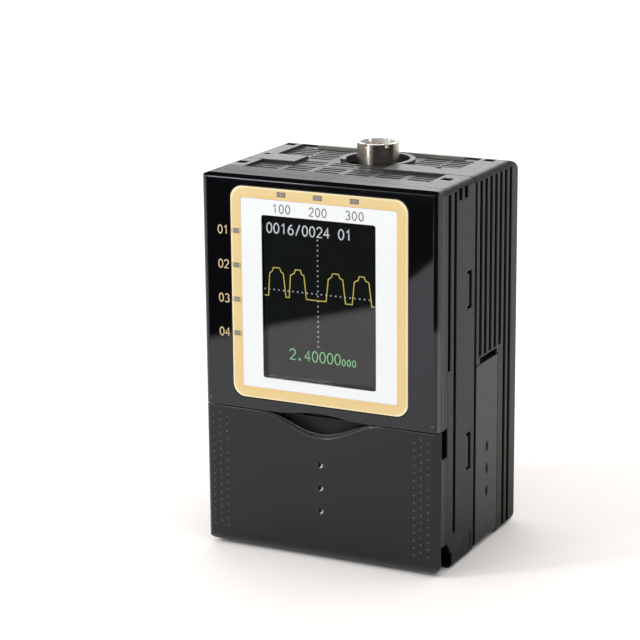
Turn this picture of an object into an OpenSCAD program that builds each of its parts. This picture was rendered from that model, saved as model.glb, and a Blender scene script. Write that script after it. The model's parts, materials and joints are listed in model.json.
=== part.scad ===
// Controller of a laser profile sensor, with a colour display, for a 35 mm rail.
// Inside the modules y runs from the front face (0) to the back; at_front() centres the depth.
// Millimetres, +Z up, the display faces -Y, the case stands on z = 0.

/* [Case] */
// Width of the case
case_w = 60; // [58:0.5:66]
// Height of the case up to its top face
case_h = 90; // [88:0.5:98]
// Depth of the case from the display to the back wall
case_d = 47; // [46:0.5:54]
// Wall thickness of the mouldings
wall = 1.8; // [1.6:0.05:2]
// Thickness of the top wall with its grille
top_wall = 2.2; // [2:0.1:2.4]
// Radius of the long edges of the case
edge_r = 1.6; // [1:0.1:2]
// Radius of the top edge at the back
back_r = 6; // [5:0.1:6.2]
// Radius of the bottom edge at the back
heel_r = 5; // [4:0.1:5.4]
// Radius of the top edge of the front face
front_r = 0.8; // [0.4:0.1:1]
// Radius of the upright edges of the front face
cheek_r = 1.5; // [1:0.1:2]
// Depth at which the front and rear mouldings meet
seam_y = 20; // [19.5:0.1:20.5]
// Width of the shadow gap along the seam on the sides
seam_gap = 1.3; // [0.8:0.1:1.5]
// Length of the lap inside the seam
seam_lap = 1.4; // [1:0.1:1.8]
// Clearance between fixed mouldings
fit_gap = 0.1; // [0.05:0.01:0.15]
// Clearance round pieces that move
run_gap = 0.3; // [0.25:0.01:0.35]

/* [Display] */
// Thickness of the front bezel
bezel_t = 1.3; // [1.2:0.05:1.5]
// Height of the parting line between bezel and flap
split_z = 34.7; // [34:0.1:36]
// Bezel left and right of the gold ring
ring_side = 7.7; // [7:0.1:8.5]
// Bezel over the gold ring
ring_head = 2.4; // [2.2:0.1:3]
// Bezel between the parting line and the gold ring
ring_foot = 2.9; // [2.4:0.1:3.3]
// Outer corner radius of the gold ring
ring_r = 3; // [2:0.1:4]
// Width of the band of the gold ring
ring_band = 2.6; // [2.4:0.1:2.8]
// Thickness of the ring and of the white field
trim_t = 0.5; // [0.4:0.05:0.6]
// White field left and right of the display window
field_side = 5.4; // [5:0.1:6]
// White field over the display window, where the figures stand
field_head = 3.8; // [3.5:0.1:4.2]
// White field under the display window
field_foot = 2.7; // [2.4:0.1:3]
// Length of an indicator window
lamp_l = 2; // [1.6:0.1:2.2]
// Height of an indicator window
lamp_h = 0.9; // [0.7:0.1:1]
// Spacing of the three indicators over the display
status_pitch = 9.2; // [8:0.1:9.6]
// Spacing of the four indicators beside the display
channel_pitch = 8.1; // [7:0.1:8.4]
// Distance of the first of these four from the top of the ring
channel_head = 10.6; // [9:0.1:11]

/* [Flap and keys] */
// Thickness of the flap
flap_t = 1.4; // [1.3:0.05:1.5]
// Radius of the rolled lower edge of the flap, round its hinge
flap_roll_r = 3.2; // [3.1:0.1:3.4]
// Height of the hinge of the flap over the floor
hinge_z = 3.5; // [3.5:0.1:3.7]
// Radius of the hinge pin
pin_r = 0.7; // [0.6:0.05:0.8]
// Distance of the hinge lugs from the middle
lug_x = 22; // [20:0.5:23]
// Width of a hinge lug
lug_w = 3; // [2.5:0.1:3.5]
// Depth of the dip in the top edge of the flap
dip_h = 3.9; // [3:0.1:4.2]
// Half width of the dip
dip_x = 15.5; // [14:0.5:16]
// Spacing of the grip dimples
dimple_pitch = 5.6; // [4.8:0.1:6]
// Radius of a grip dimple
dimple_r = 0.75; // [0.6:0.05:0.9]
// Radius of the lower corners of the flap
flap_corner_r = 2.8; // [1.8:0.1:3]
// Travel of a key
key_travel = 0.4; // [0.3:0.05:0.4]
// Width of a cursor key
key_w = 5.2; // [4.6:0.1:5.4]
// Height of a cursor key
key_h = 4.2; // [3.8:0.1:4.4]
// Spacing of the cursor keys
key_pitch = 6.8; // [6.6:0.1:7]
// Travel of the mode switch
mode_travel = 4; // [3:0.5:4]

/* [Sides] */
// Width of a vent slot
slot_w = 1.6; // [1.2:0.1:1.8]
// Distance of the middle of the last vent slot from the back
vent_back = 5.7; // [5.3:0.01:6.2]
// Depth of a vent slot before its windows
slot_depth = 1.1; // [0.9:0.05:1.2]
// Height of a window in a vent slot
pane_h = 9; // [7:0.5:10]
// Height of the tie between two windows
pane_tie = 2.4; // [2:0.1:3]
// Height of the bus connector cover
cover_h = 45; // [44:0.1:46]
// Width of the bus connector cover
cover_w = 12.8; // [12.4:0.1:13]
// Thickness of the bus connector cover
cover_t = 1.6; // [1.5:0.05:1.7]

/* [Top] */
// Radius of the round sensor connector
conn_r = 5; // [4.8:0.1:5.4]
// Height of the round connector over the top face
conn_rise = 4; // [3.5:0.1:5]
// Distance of the middle of the round connector from the back
conn_back = 15; // [14.5:0.1:15.5]
// Radius of the opening round the connector
well_r = 7.6; // [7.2:0.1:8]
// Depth of the grille panels below the top face
panel_drop = 0.7; // [0.5:0.05:0.8]
// Width of a grille slot
grille_w = 1.1; // [0.9:0.05:1.2]
// Spacing of the grille rows
grille_pitch = 2.1; // [2:0.05:2.2]

/* [Rail mount] */
// Height of the rail that the hooks hold
rail_h = 35; // [35:0.1:35]
// Height of the middle of the rail over the floor
rail_z = 45; // [44:0.5:47]
// Thickness of the rail
rail_t = 1; // [1:0.1:1.3]
// Thickness of the hook lips
lip_t = 2; // [1.6:0.1:2.4]
// Travel of the latch
latch_travel = 3.5; // [3:0.1:3.5]

/* [Hidden] */
$fn = 48;

// Colours of the mouldings and metals
BLACK_GLOSS = [0.03, 0.03, 0.035];
BLACK_SATIN = [0.11, 0.11, 0.115];
GREY_KEY = [0.45, 0.45, 0.46];
GOLD = [0.86, 0.72, 0.42];
BOARD_GREEN = [0.05, 0.25, 0.12];
NICKEL = [0.75, 0.73, 0.7];

half_w = case_w / 2;
inner_x = half_w - wall;
big = 200;

// Rail mount behind the back wall
rail_gap = rail_t + 0.3;
full_d = case_d + rail_gap + lip_t;

// Depths of the layers behind the bezel
rail_y0 = flap_t + run_gap;
frame_back = flap_roll_r + 1.5;
seam_line = 0.15;
deck_t = 1.4;
deck_y = frame_back - deck_t;
board_t = 1.4;
display_board_t = 1.2;
key_board_t = 1.2;
key_board_gap = 4.3;
main_gap = 6;
power_gap = 11;
key_board_y = frame_back + key_board_gap;
main_y = seam_y - main_gap;
power_y = case_d - power_gap;
board_x = inner_x - 1;
board_edge = 9;
board_z0 = board_edge;
board_z1 = case_h - board_edge;
board_mid = (board_z0 + board_z1) / 2;

// Parts on the boards
chip_w = 20;
chip_t = 1.8;
chip_z = board_mid + 5;
memory_w = 6;
memory_h = 2 * memory_w;
memory_t = 1.2;
fin_t = 1.4;
fin_h = 5.4;
fin_count = 7;
coil_w = 13;
coil_h = 10;
coil_t = 6;
capacitor_r = 4;
capacitor_l = 11;
capacitor_pitch = capacitor_l;
capacitor_z = board_mid - 19;
spacer_r = 2.2;
spacer_x = board_x / 2;
spacer_z = 3 * board_edge;
link_w = 14;
link_h = 4;
link_drop = 9;
pole_pitch = 2.1;
pole_w = 1;
pin_pitch = 2.8;
pin_w = 0.8;

// Hinge of the flap
hinge_y = flap_roll_r;
trough_r = flap_roll_r + 0.5;
trough_t = 1.4;
lug_r = flap_roll_r - flap_t - run_gap;

// The display opening in the frame
ring_w = case_w - 2 * ring_side;
ring_z = split_z + ring_foot;
ring_top = case_h - ring_head;
window_w = ring_w - 2 * ring_band - 2 * field_side;
window_z = ring_z + ring_band + field_foot;
window_top = ring_top - ring_band - field_head;
scoop_x = 10.6;
scoop_y = 3.6;
arch_h = 0.9;
parting = 0.25;
aperture_x = half_w - 6;
aperture_z0 = split_z + 2.8;
aperture_z1 = case_h - top_wall - fit_gap;

// The deck under the flap
lip_y = 0.6;
dimple_z = split_z - 11.3;
deck_x = half_w - 3.2;
deck_z0 = hinge_z + 4.5;
deck_z1 = split_z - 1.3;
key_x = 5;
key_z = (deck_z0 + deck_z1) / 2 - 0.1;
aux_x = key_x - 2 * key_pitch - 1.4;
mode_x = 5.3 - deck_x;
mode_z = key_z + 6.2;
usb_x = deck_x - 5.4;
cap_front = 2.4;
flange_y = frame_back + 0.2;
flange_t = 0.5;
switch_y = flange_y + flange_t + key_travel + 0.05;

// Side slots, measured from the front face
slot_top = case_h - 1.4;
first_slot_z = split_z + 13.3;
second_slot_z = 8.5;
second_slot_y = frame_back + 3.3;
snap_h = 9;
low_snap_z = second_slot_z + 13;
high_snap_z = case_h - 30;
cover_y0 = seam_y + seam_gap + 0.2;
cover_y1 = cover_y0 + cover_w;
seat_t = 3;
seat_y1 = cover_y1 + run_gap;
cover_roll_r = 1.8;
cover_hinge_x = half_w - cover_roll_r;
cover_hinge_z = cover_roll_r + 0.3;
stub_r = 0.7;
pry_y0 = cover_y0 + 2;
pry_y1 = cover_y1 - 0.6;
vent_count = 7;
slot_pitch = (case_d - vent_back - seam_y - seam_gap / 2) / vent_count;
first_vent_y = seam_y + seam_gap / 2 + slot_pitch;
long_vents = 2;
vent_foot_z = cover_h + 2;
bus_y = (cover_y0 + cover_y1) / 2;
bus_z0 = 10;
bus_z1 = cover_h - 6;
bus_w = cover_w / 2;

// Screws through the corners
screw_x = half_w - 4.6;
screw_z = 6.2;
screw_r = 1.2;
screw_head_r = 2.3;
screw_head_t = 1.6;
screw_tip_y = 11.5;
post_r = 2.9;

// Top
conn_y = case_d - conn_back;
well_floor_z = case_h - 5;
well_floor_t = 1.6;
conn_foot_z = case_h - 8;
conn_body_r = conn_r - 0.2;
well_y0 = conn_y - 6;
conn_bore_r = conn_r - 1.4;
conn_recess = 2.2;
conn_top = case_h + conn_rise;
contact_r = 0.35;
panel_z = case_h - panel_drop;

// Rail mount
rail_lo = rail_z - rail_h / 2;
rail_hi = rail_z + rail_h / 2;
hook_x = 15;
hook_w = 9;
latch_x = 4.2;
latch_flange_x = 5.7;
latch_y0 = case_d - 2.7;
latch_y1 = latch_y0 + 1.6;
latch_z0 = latch_travel + 0.6;
latch_z1 = rail_lo + 3.6;
channel_y = case_d - 3;
channel_wall = 1.6;
window_lo = 12.2;
window_hi = 24;
window_x = 1.7;
post_z0 = 12.6;
post_z1 = 14.6;
spring_r = 1.05;
wire_r = 0.22;
spring_turns = 6;

// Bottom connector
io_x = 15;
io_y0 = power_y - 8;
io_z1 = 12;
io_wall = 1.4;

module at_front() {
    translate([0, -full_d / 2, 0]) children();
}

// A block between two x, two y and two z values
module block(x, y, z) {
    translate([x[0], y[0], z[0]]) cube([x[1] - x[0], y[1] - y[0], z[1] - z[0]]);
}

module rod_x(x, y, z, r) {
    translate([x[0], y, z]) rotate([0, 90, 0]) cylinder(r = r, h = x[1] - x[0]);
}

module rod_y(x, y, z, r) {
    translate([x, y[0], z]) rotate([-90, 0, 0]) cylinder(r = r, h = y[1] - y[0]);
}

module rod_z(x, y, z, r) {
    translate([x, y, z[0]]) cylinder(r = r, h = z[1] - z[0]);
}

// Mirrored copy on the other side of the middle plane
module both_sides() {
    children();
    mirror([1, 0, 0]) children();
}

// What a rounded corner takes off a square one
module corner_cut(r) {
    difference() {
        translate([-1, -1]) square(r + 1);
        translate([r, r]) circle(r);
    }
}

// Rectangle with one radius per corner, anticlockwise from the lower left
module rounded_outline(w, h, radii) {
    difference() {
        square([w, h]);
        if (radii[0] > 0) corner_cut(radii[0]);
        if (radii[1] > 0) translate([w, 0]) rotate(90) corner_cut(radii[1]);
        if (radii[2] > 0) translate([w, h]) rotate(180) corner_cut(radii[2]);
        if (radii[3] > 0) translate([0, h]) rotate(270) corner_cut(radii[3]);
    }
}

// Upright plate with rounded corners, centred on x
module plate(w, z, y, r) {
    translate([-w / 2, y[1], z[0]]) rotate([90, 0, 0]) linear_extrude(y[1] - y[0])
        rounded_outline(w, z[1] - z[0], [r, r, r, r]);
}

// The outer form of the whole case: its side, front and plan outlines, intersected
module outer_form() {
    intersection() {
        translate([-half_w, 0, 0]) rotate([90, 0, 90]) linear_extrude(case_w)
            rounded_outline(case_d, case_h, [0, heel_r, back_r, front_r]);
        translate([-half_w, case_d, 0]) rotate([90, 0, 0]) linear_extrude(case_d)
            rounded_outline(case_w, case_h, [edge_r, edge_r, edge_r, edge_r]);
        translate([-half_w, 0, 0]) linear_extrude(case_h)
            rounded_outline(case_w, case_d, [cheek_r, cheek_r, edge_r, edge_r]);
    }
}

// Curve of the dip: a cosine that runs level into the straight edge
function dip_points(z, depth, half) =
    [for (i = [-12 : 12]) [half * i / 12, z - depth * (1 + cos(15 * i)) / 2]];

// Everything above the dipped edge, as a cutter across the depth y
module above_dip(z, depth, half, y) {
    translate([0, y[1], 0]) rotate([90, 0, 0]) linear_extrude(y[1] - y[0])
        polygon(concat([[half, z + 10], [-half, z + 10]], dip_points(z, depth, half)));
}

// Column of grip dimples, from the top one down, each stretched upwards by a factor
module dimples(x, y, z, stretch) {
    for (i = [0 : 2]) translate([x, y, z - i * dimple_pitch])
        scale([1, 1, stretch]) sphere(dimple_r);
}

// Front bezel, with the display opening and the arched lower edge over the scoop
module front_bezel() color(BLACK_GLOSS) at_front() difference() {
    intersection() {
        outer_form();
        block([-big, big], [0, bezel_t], [split_z + 0.15, case_h]);
    }
    plate(ring_w + 2 * fit_gap, [ring_z - fit_gap, ring_top + fit_gap], [-1, trim_t], ring_r);
    plate(window_w + 2 * fit_gap, [window_z - fit_gap, window_top + fit_gap], [-1, big], 0.6);
    translate([0, 0, split_z + 0.15]) mirror([0, 0, 1])
        above_dip(0, arch_h, scoop_x + 0.4, [-1, big]);
    status_windows(fit_gap);
    channel_windows(fit_gap);
}

// Gold ring round the white field
module trim_ring() color(GOLD) at_front() difference() {
    plate(ring_w, [ring_z, ring_top], [0, trim_t], ring_r);
    plate(ring_w - 2 * ring_band, [ring_z + ring_band, ring_top - ring_band], [-1, big], 0.4);
    status_windows(fit_gap);
    channel_windows(fit_gap);
}

// White field between the ring and the display window
module display_field() color("white") at_front() difference() {
    plate(ring_w - 2 * ring_band - fit_gap,
        [ring_z + ring_band + fit_gap / 2, ring_top - ring_band - fit_gap / 2], [0, trim_t], 0.35);
    plate(window_w + 2 * fit_gap, [window_z - fit_gap, window_top + fit_gap], [-1, big], 0.6);
}

// Clear window with a flange behind the bezel
module display_window() color([0.2, 0.2, 0.22, 0.5]) at_front() {
    plate(window_w, [window_z, window_top], [0.02, bezel_t + 0.1], 0.6);
    plate(window_w + 2, [window_z - 1, window_top + 1], [bezel_t, bezel_t + 0.6], 1);
}

// The three slots over the display and the four beside it
module status_windows(gap) {
    for (i = [-1 : 1])
        block([i * status_pitch - lamp_l / 2 - gap, i * status_pitch + lamp_l / 2 + gap], [-1, bezel_t + 1],
            [status_z - lamp_h / 2 - gap, status_z + lamp_h / 2 + gap]);
}

module channel_windows(gap) {
    for (i = [0 : 3])
        block([channel_x - lamp_l / 2 - gap, channel_x + lamp_l / 2 + gap], [-1, bezel_t + 1],
            [channel_z(i) - lamp_h / 2 - gap, channel_z(i) + lamp_h / 2 + gap]);
}

status_z = ring_top - ring_band / 2;
channel_x = -(ring_w - ring_band) / 2;
function channel_z(i) = ring_top - channel_head - i * channel_pitch;
guide_back = 3.9;

// Light guide with three fingers on one bar
module status_light_guide() color([0.8, 0.8, 0.85]) at_front() {
    for (i = [-1 : 1])
        block([i * status_pitch - lamp_l / 2, i * status_pitch + lamp_l / 2], [0, guide_back],
            [status_z - lamp_h / 2, status_z + lamp_h / 2]);
    block([-status_pitch - 2, status_pitch + 2], [bezel_t + 0.05, bezel_t + 1.1],
        [status_z - lamp_h / 2, status_z + lamp_h / 2]);
}

// Light guide with four fingers on one bar
module channel_light_guide() color([0.8, 0.8, 0.85]) at_front() {
    for (i = [0 : 3])
        block([channel_x - lamp_l / 2, channel_x + lamp_l / 2], [0, guide_back],
            [channel_z(i) - lamp_h / 2, channel_z(i) + lamp_h / 2]);
    block([channel_x - lamp_l / 2, channel_x + lamp_l / 2], [bezel_t + 0.05, bezel_t + 1.1],
        [channel_z(3) - 1.5, channel_z(0) + 1.5]);
}

// Frame behind the bezel: display opening, cross bar with the finger scoop, and two legs
module front_frame() color(BLACK_SATIN) at_front() {
    difference() {
        intersection() {
            outer_form();
            union() {
                block([-big, big], [bezel_t, frame_back], [split_z, case_h]);
                block([-big, big], [rail_y0, frame_back], [hinge_z + trough_r, split_z + 1]);
            }
        }
        block([-aperture_x, aperture_x], [-1, big], [aperture_z0, aperture_z1]);
        block([-deck_x - 0.2, deck_x + 0.2], [-1, big], [-1, deck_z1 + 0.2]);
        both_sides() {
            block([half_w - wall, big], [-1, big], [split_z - 6.7, split_z + 0.2]);
            block([half_w - parting, big], [bezel_t, bezel_t + parting], [0, case_h]);
        }
        scoop_cut();
    }
    difference() {
        intersection() {
            block([-scoop_x - 0.9, scoop_x + 0.9], [rail_y0, deck_y - 0.1],
                [split_z - dip_h - 1.6, split_z + 2]);
            above_dip(split_z - 1.2, dip_h, scoop_x + 1.4, [0, big]);
        }
        scoop_cut();
    }
}

// Hollow for a fingertip above the flap: it leans back, and is deepest under the bezel
module scoop_cut() {
    intersection() {
        union() {
            rod_x([-big, big], -9, split_z - 3, 11.6);
            block([-big, big], [bezel_t - 1, scoop_y], [split_z - 0.5, split_z + 2]);
        }
        block([-scoop_x, scoop_x], [-big, frame_back - 0.6], [split_z - big, split_z + 1.4]);
        above_dip(split_z - 1.6, dip_h - 0.6, scoop_x + 0.2, [-big, big]);
    }
}

// Deck behind the flap, with the key openings, posts for the key board and two hinge lugs
module key_deck() color(BLACK_SATIN) at_front() difference() {
    union() {
        block([-deck_x, deck_x], [deck_y, frame_back], [deck_z0, deck_z1]);
        both_sides() {
            block([deck_x - 1.2, inner_x - 0.2], [frame_back, frame_back + 0.9], [deck_z0 + 1, deck_z1 + 0.8]);
            for (z = [deck_z0 + 3.2, deck_z1 - 2.4])
                rod_y(deck_x - 3, [frame_back - 0.1, key_board_y], z, 1.4);
            block([lug_x - lug_w / 2, lug_x + lug_w / 2], [hinge_y - 0.9, hinge_y + 0.9],
                [hinge_z, deck_z0 + 2]);
            rod_x([lug_x - lug_w / 2, lug_x + lug_w / 2], hinge_y, hinge_z, lug_r);
        }
    }
    rod_x([-big, big], hinge_y, hinge_z, pin_r);
    for (k = cursor_keys)
        block([k[0] - key_w / 2 - run_gap, k[0] + key_w / 2 + run_gap], [0, big],
            [k[1] - key_h / 2 - run_gap, k[1] + key_h / 2 + run_gap]);
    for (k = round_keys) rod_y(k[0], [0, big], k[1], round_key_r + run_gap);
    block([mode_x - 1.6 - run_gap, mode_x + mode_travel + 1.6 + run_gap], [0, big],
        [mode_z - 1.2 - run_gap, mode_z + 1.2 + run_gap]);
    block([usb_x - usb_w / 2 - 0.3, usb_x + usb_w / 2 + 0.3], [0, big],
        [key_z - usb_l / 2 - 0.3, key_z + usb_l / 2 + 0.3]);
}

// Places of the keys: the four cursor keys, then the enter key and the two keys beside them
cursor_keys = [
    [key_x, key_z + key_pitch], [key_x, key_z - key_pitch],
    [key_x - key_pitch - 0.4, key_z], [key_x + key_pitch + 0.4, key_z]
];
round_keys = [[key_x, key_z], [aux_x, key_z - key_pitch], [aux_x, key_z + key_pitch - 0.5]];
round_key_r = 2.3;
usb_w = 4;
usb_l = 8;

// Flap: a front plate rolled under at its foot, round the hinge
module key_flap() color(BLACK_GLOSS) at_front() difference() {
    union() {
        intersection() {
            outer_form();
            plate(case_w, [hinge_z - flap_roll_r, case_h], [-1, hinge_y], flap_corner_r);
            difference() {
                union() {
                    block([-big, big], [0, hinge_y], [hinge_z, split_z - 0.15]);
                    rod_x([-big, big], hinge_y, hinge_z, flap_roll_r);
                }
                block([-big, big], [flap_t, big], [hinge_z, big]);
                rod_x([-big, big], hinge_y, hinge_z, flap_roll_r - flap_t);
            }
        }
        both_sides() {
            flap_knuckle(lug_x - lug_w / 2 - run_gap - 4, lug_x - lug_w / 2 - run_gap);
            flap_knuckle(lug_x + lug_w / 2 + run_gap, lug_x + lug_w / 2 + run_gap + 2.5);
            block([inner_x + 0.2, inner_x + 1.2], [flap_t - 0.1, flap_t + 1.4], [29.5, 32.5]);
        }
    }
    rod_x([-big, big], hinge_y, hinge_z, pin_r + 0.05);
    above_dip(split_z - 0.15, dip_h, dip_x, [lip_y, big]);
    above_dip(split_z - 0.15, dip_h + 0.9, dip_x + 1, [-1, lip_y + 0.01]);
    dimples(0, 0, dimple_z, 1);
}

// Part of the barrel of the flap, filling the inside of the roll
module flap_knuckle(x0, x1) {
    rod_x([x0, x1], hinge_y, hinge_z, flap_roll_r - flap_t + 0.05);
    block([x0, x1], [flap_t - 0.1, hinge_y], [hinge_z - 0.5, hinge_z + 1.2]);
}

module flap_hinge_pin() color(NICKEL) at_front()
    rod_x([-lug_x - lug_w / 2 - 2.6, lug_x + lug_w / 2 + 2.6], hinge_y, hinge_z, pin_r);

// Cursor key: cap through the deck and a flange behind it
module cursor_key(k) color(GREY_KEY) at_front() {
    translate([k[0], 0, 0])
        plate(key_w, [k[1] - key_h / 2, k[1] + key_h / 2], [cap_front, flange_y + flange_t], 1);
    translate([k[0], 0, 0])
        plate(key_w + 1, [k[1] - key_h / 2 - 0.5, k[1] + key_h / 2 + 0.5],
            [flange_y, flange_y + flange_t], 1.2);
}

// Round key with a dished cap
module round_key(k) color(GREY_KEY) at_front() difference() {
    union() {
        rod_y(k[0], [cap_front, flange_y + flange_t], k[1], round_key_r);
        rod_y(k[0], [flange_y, flange_y + flange_t], k[1], round_key_r + 0.5);
    }
    translate([k[0], cap_front - 7.8, k[1]]) sphere(8);
}

// Knob of the mode switch, at the left end of its travel
module mode_knob() color(GREY_KEY) at_front() {
    block([mode_x - 1.6, mode_x + 1.6], [cap_front + 0.2, switch_y - 0.1], [mode_z - 1.2, mode_z + 1.2]);
    block([mode_x - 0.8, mode_x + 0.8], [switch_y - 0.2, switch_y + 0.6], [mode_z - 0.6, mode_z + 0.6]);
    for (x = [-0.8, 0, 0.8])
        block([mode_x + x - 0.2, mode_x + x + 0.2], [cap_front, cap_front + 0.3],
            [mode_z - 1.2, mode_z + 1.2]);
}

module mode_switch() color(NICKEL) at_front() difference() {
    block([mode_x - 2.4, mode_x + mode_travel + 2.4], [switch_y, key_board_y], [mode_z - 2.2, mode_z + 2.2]);
    block([mode_x - 1.1, mode_x + mode_travel + 1.1], [-1, switch_y + 0.8], [mode_z - 0.8, mode_z + 0.8]);
}

// Seven push switches on the key board
module key_switches() color(NICKEL) at_front()
    for (k = concat(cursor_keys, round_keys)) {
        block([k[0] - 2.2, k[0] + 2.2], [switch_y + 0.6, key_board_y], [k[1] - 2.2, k[1] + 2.2]);
        rod_y(k[0], [switch_y, switch_y + 0.7], k[1], 1.2);
    }

module key_board() color(BOARD_GREEN) at_front()
    block([-deck_x + 1, deck_x - 1], [key_board_y, key_board_y + key_board_t], [deck_z0 + 1.2, deck_z1]);

// Socket for the service cable, standing on the key board behind the flap
module usb_socket() color(NICKEL) at_front() {
    difference() {
        block([usb_x - usb_w / 2, usb_x + usb_w / 2], [deck_y + 0.3, key_board_y],
            [key_z - usb_l / 2, key_z + usb_l / 2]);
        block([usb_x - usb_w / 2 + 0.5, usb_x + usb_w / 2 - 0.5], [0, key_board_y - 1],
            [key_z - usb_l / 2 + 0.5, key_z + usb_l / 2 - 0.5]);
    }
    block([usb_x - 0.5, usb_x + 0.5], [deck_y + 1, key_board_y - 0.5],
        [key_z - usb_l / 2 + 1.6, key_z + usb_l / 2 - 1.6]);
}

// Display module: cell, metal frame round it, and backlight
lcd_y = bezel_t + 0.65;
lcd_t = 1.2;
lcd_x = window_w / 2 + 1.6;
lcd_z0 = window_z - 2;
lcd_z1 = window_top + 2;

module lcd_panel() color([0.02, 0.02, 0.03]) at_front()
    block([-lcd_x, lcd_x], [lcd_y, lcd_y + lcd_t], [lcd_z0, lcd_z1]);

module backlight() color("white") at_front()
    block([-lcd_x, lcd_x], [lcd_y + lcd_t + 0.02, frame_back - 0.35], [lcd_z0, lcd_z1]);

module lcd_frame() color(NICKEL) at_front() difference() {
    block([-lcd_x - 0.4, lcd_x + 0.4], [lcd_y, frame_back - 0.02], [lcd_z0 - 0.4, lcd_z1 + 0.4]);
    block([-lcd_x - 0.05, lcd_x + 0.05], [-1, frame_back - 0.3], [lcd_z0 - 0.05, lcd_z1 + 0.05]);
}

// Board behind the display, with a lamp under each light guide
module display_board() color(BOARD_GREEN) at_front() {
    block([-aperture_x - 1.5, aperture_x + 1.5], [frame_back, frame_back + display_board_t],
        [aperture_z0 - 1, aperture_z1 - 0.6]);
    for (i = [-1 : 1])
        block([i * status_pitch - 0.8, i * status_pitch + 0.8], [guide_back + 0.1, frame_back + 0.1],
            [status_z - 0.4, status_z + 0.4]);
    for (i = [0 : 3])
        block([channel_x - 0.8, channel_x + 0.8], [guide_back + 0.1, frame_back + 0.1],
            [channel_z(i) - 0.4, channel_z(i) + 0.4]);
}

// Main board with its processor and memory
module main_board() color(BOARD_GREEN) at_front() {
    block([-board_x, board_x], [main_y, main_y + board_t], [board_z0, board_z1]);
    block([-chip_w / 2, chip_w / 2], [main_y + board_t - 0.1, main_y + board_t + chip_t],
        [chip_z - chip_w / 2, chip_z + chip_w / 2]);
    both_sides() block([chip_w - memory_w / 2, chip_w + memory_w / 2], [main_y - memory_t, main_y + 0.1],
        [chip_z + memory_h / 2, chip_z + 1.5 * memory_h]);
}

// Finned heat sink on the processor
module heat_sink() color(NICKEL) at_front() {
    y0 = main_y + board_t + chip_t;
    z = [chip_z - chip_w / 2, chip_z + chip_w / 2];
    block([-chip_w / 2, chip_w / 2], [y0, y0 + fin_t], z);
    for (i = [0 : fin_count - 1]) {
        x = (chip_w - fin_t) * (i / (fin_count - 1) - 0.5);
        block([x - fin_t / 2, x + fin_t / 2], [y0 + fin_t - 0.1, y0 + fin_t + fin_h], z);
    }
}

module power_board() color(BOARD_GREEN) at_front() {
    block([-board_x + 0.6, board_x - 0.6], [power_y, power_y + board_t], [board_z0, board_z1]);
    block([-coil_w / 2, coil_w / 2], [power_y - coil_t, power_y + 0.1],
        [chip_z - coil_h / 2, chip_z + coil_h / 2]);
}

// Electrolytic capacitors standing on the power board
module capacitors() color([0.2, 0.22, 0.3]) at_front()
    for (i = [-1 : 1]) rod_y(i * capacitor_pitch, [power_y - capacitor_l, power_y], capacitor_z, capacitor_r);

// Hexagonal spacers between the two boards
module board_spacers() color("gold") at_front()
    for (x = [-spacer_x, spacer_x], z = [board_mid - spacer_z, board_mid + spacer_z])
        translate([x, main_y + board_t, z]) rotate([-90, 0, 0])
            cylinder(r = spacer_r, h = power_y - main_y - board_t, $fn = 6);

// Plugs that link the display board and the key board to the main board
module board_links() color("white") at_front() {
    block([-link_w / 2, link_w / 2], [frame_back + display_board_t, main_y], [chip_z, chip_z + link_h]);
    block([-link_w / 2, link_w / 2], [key_board_y + key_board_t, main_y],
        [deck_z1 - link_drop, deck_z1 - link_drop + link_h]);
}

// Bus connector on the edge of the power board, with a slotted nose in the case wall
module bus_connector() color([0.85, 0.84, 0.8]) at_front() difference() {
    union() {
        block([half_w - 11, half_w - seat_t - 0.3], [bus_y - bus_w / 2 - 0.6, power_y],
            [bus_z0 - 1, bus_z1 + 1]);
        block([half_w - seat_t - 0.4, half_w - wall - 0.1], [bus_y - bus_w / 2, bus_y + bus_w / 2],
            [bus_z0, bus_z1]);
    }
    block([half_w - 7, half_w], [bus_y - 1, bus_y + 1], [bus_z0 + 1.5, bus_z1 - 1.5]);
    for (i = [0 : 11]) for (s = [-1, 1])
        block([half_w - 7, half_w], [bus_y + s * 1.5 - 0.6, bus_y + s * 1.5 + 0.6],
            [bus_z0 + pole_pitch + i * pole_pitch, bus_z0 + pole_pitch + i * pole_pitch + pole_w]);
}

module bus_connector_right() bus_connector();
module bus_connector_left() mirror([1, 0, 0]) bus_connector();

// Cover over the bus connector: flat plate with a rolled foot that turns on two stubs
module bus_cover() color(BLACK_SATIN) at_front() difference() {
    union() {
        block([half_w - cover_t, half_w], [cover_y0, cover_y1], [cover_hinge_z, cover_h]);
        rod_y(cover_hinge_x, [cover_y0, cover_y1], cover_hinge_z, cover_roll_r);
        rod_y(cover_hinge_x, [cover_y0 - 0.7, cover_y1 + 1], cover_hinge_z, stub_r);
        block([half_w - cover_t, half_w - cover_t + 0.5], [pry_y0 + 0.4, pry_y1 - 0.4],
            [cover_h - 0.1, cover_h + 0.5]);
    }
    dimples(half_w, bus_y + 0.3, dimple_z + 0.6, 1.8);
}

module bus_cover_right() bus_cover();
module bus_cover_left() mirror([1, 0, 0]) bus_cover();

// Plug-in terminal header in the bottom wall
module io_connector() color([0.12, 0.13, 0.12]) at_front() {
    difference() {
        block([-io_x, io_x], [io_y0, power_y], [0.3, io_z1]);
        block([-io_x + io_wall, io_x - io_wall], [io_y0 + io_wall, power_y - io_wall], [-1, io_z1 - 2]);
    }
    for (i = [-4 : 4]) for (y = [io_y0 + io_wall + 1.2, power_y - io_wall - 1.2])
        block([i * pin_pitch - pin_w / 2, i * pin_pitch + pin_w / 2], [y - pin_w / 2, y + pin_w / 2],
            [io_z1 / 2, io_z1 - 1.9]);
}

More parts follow.
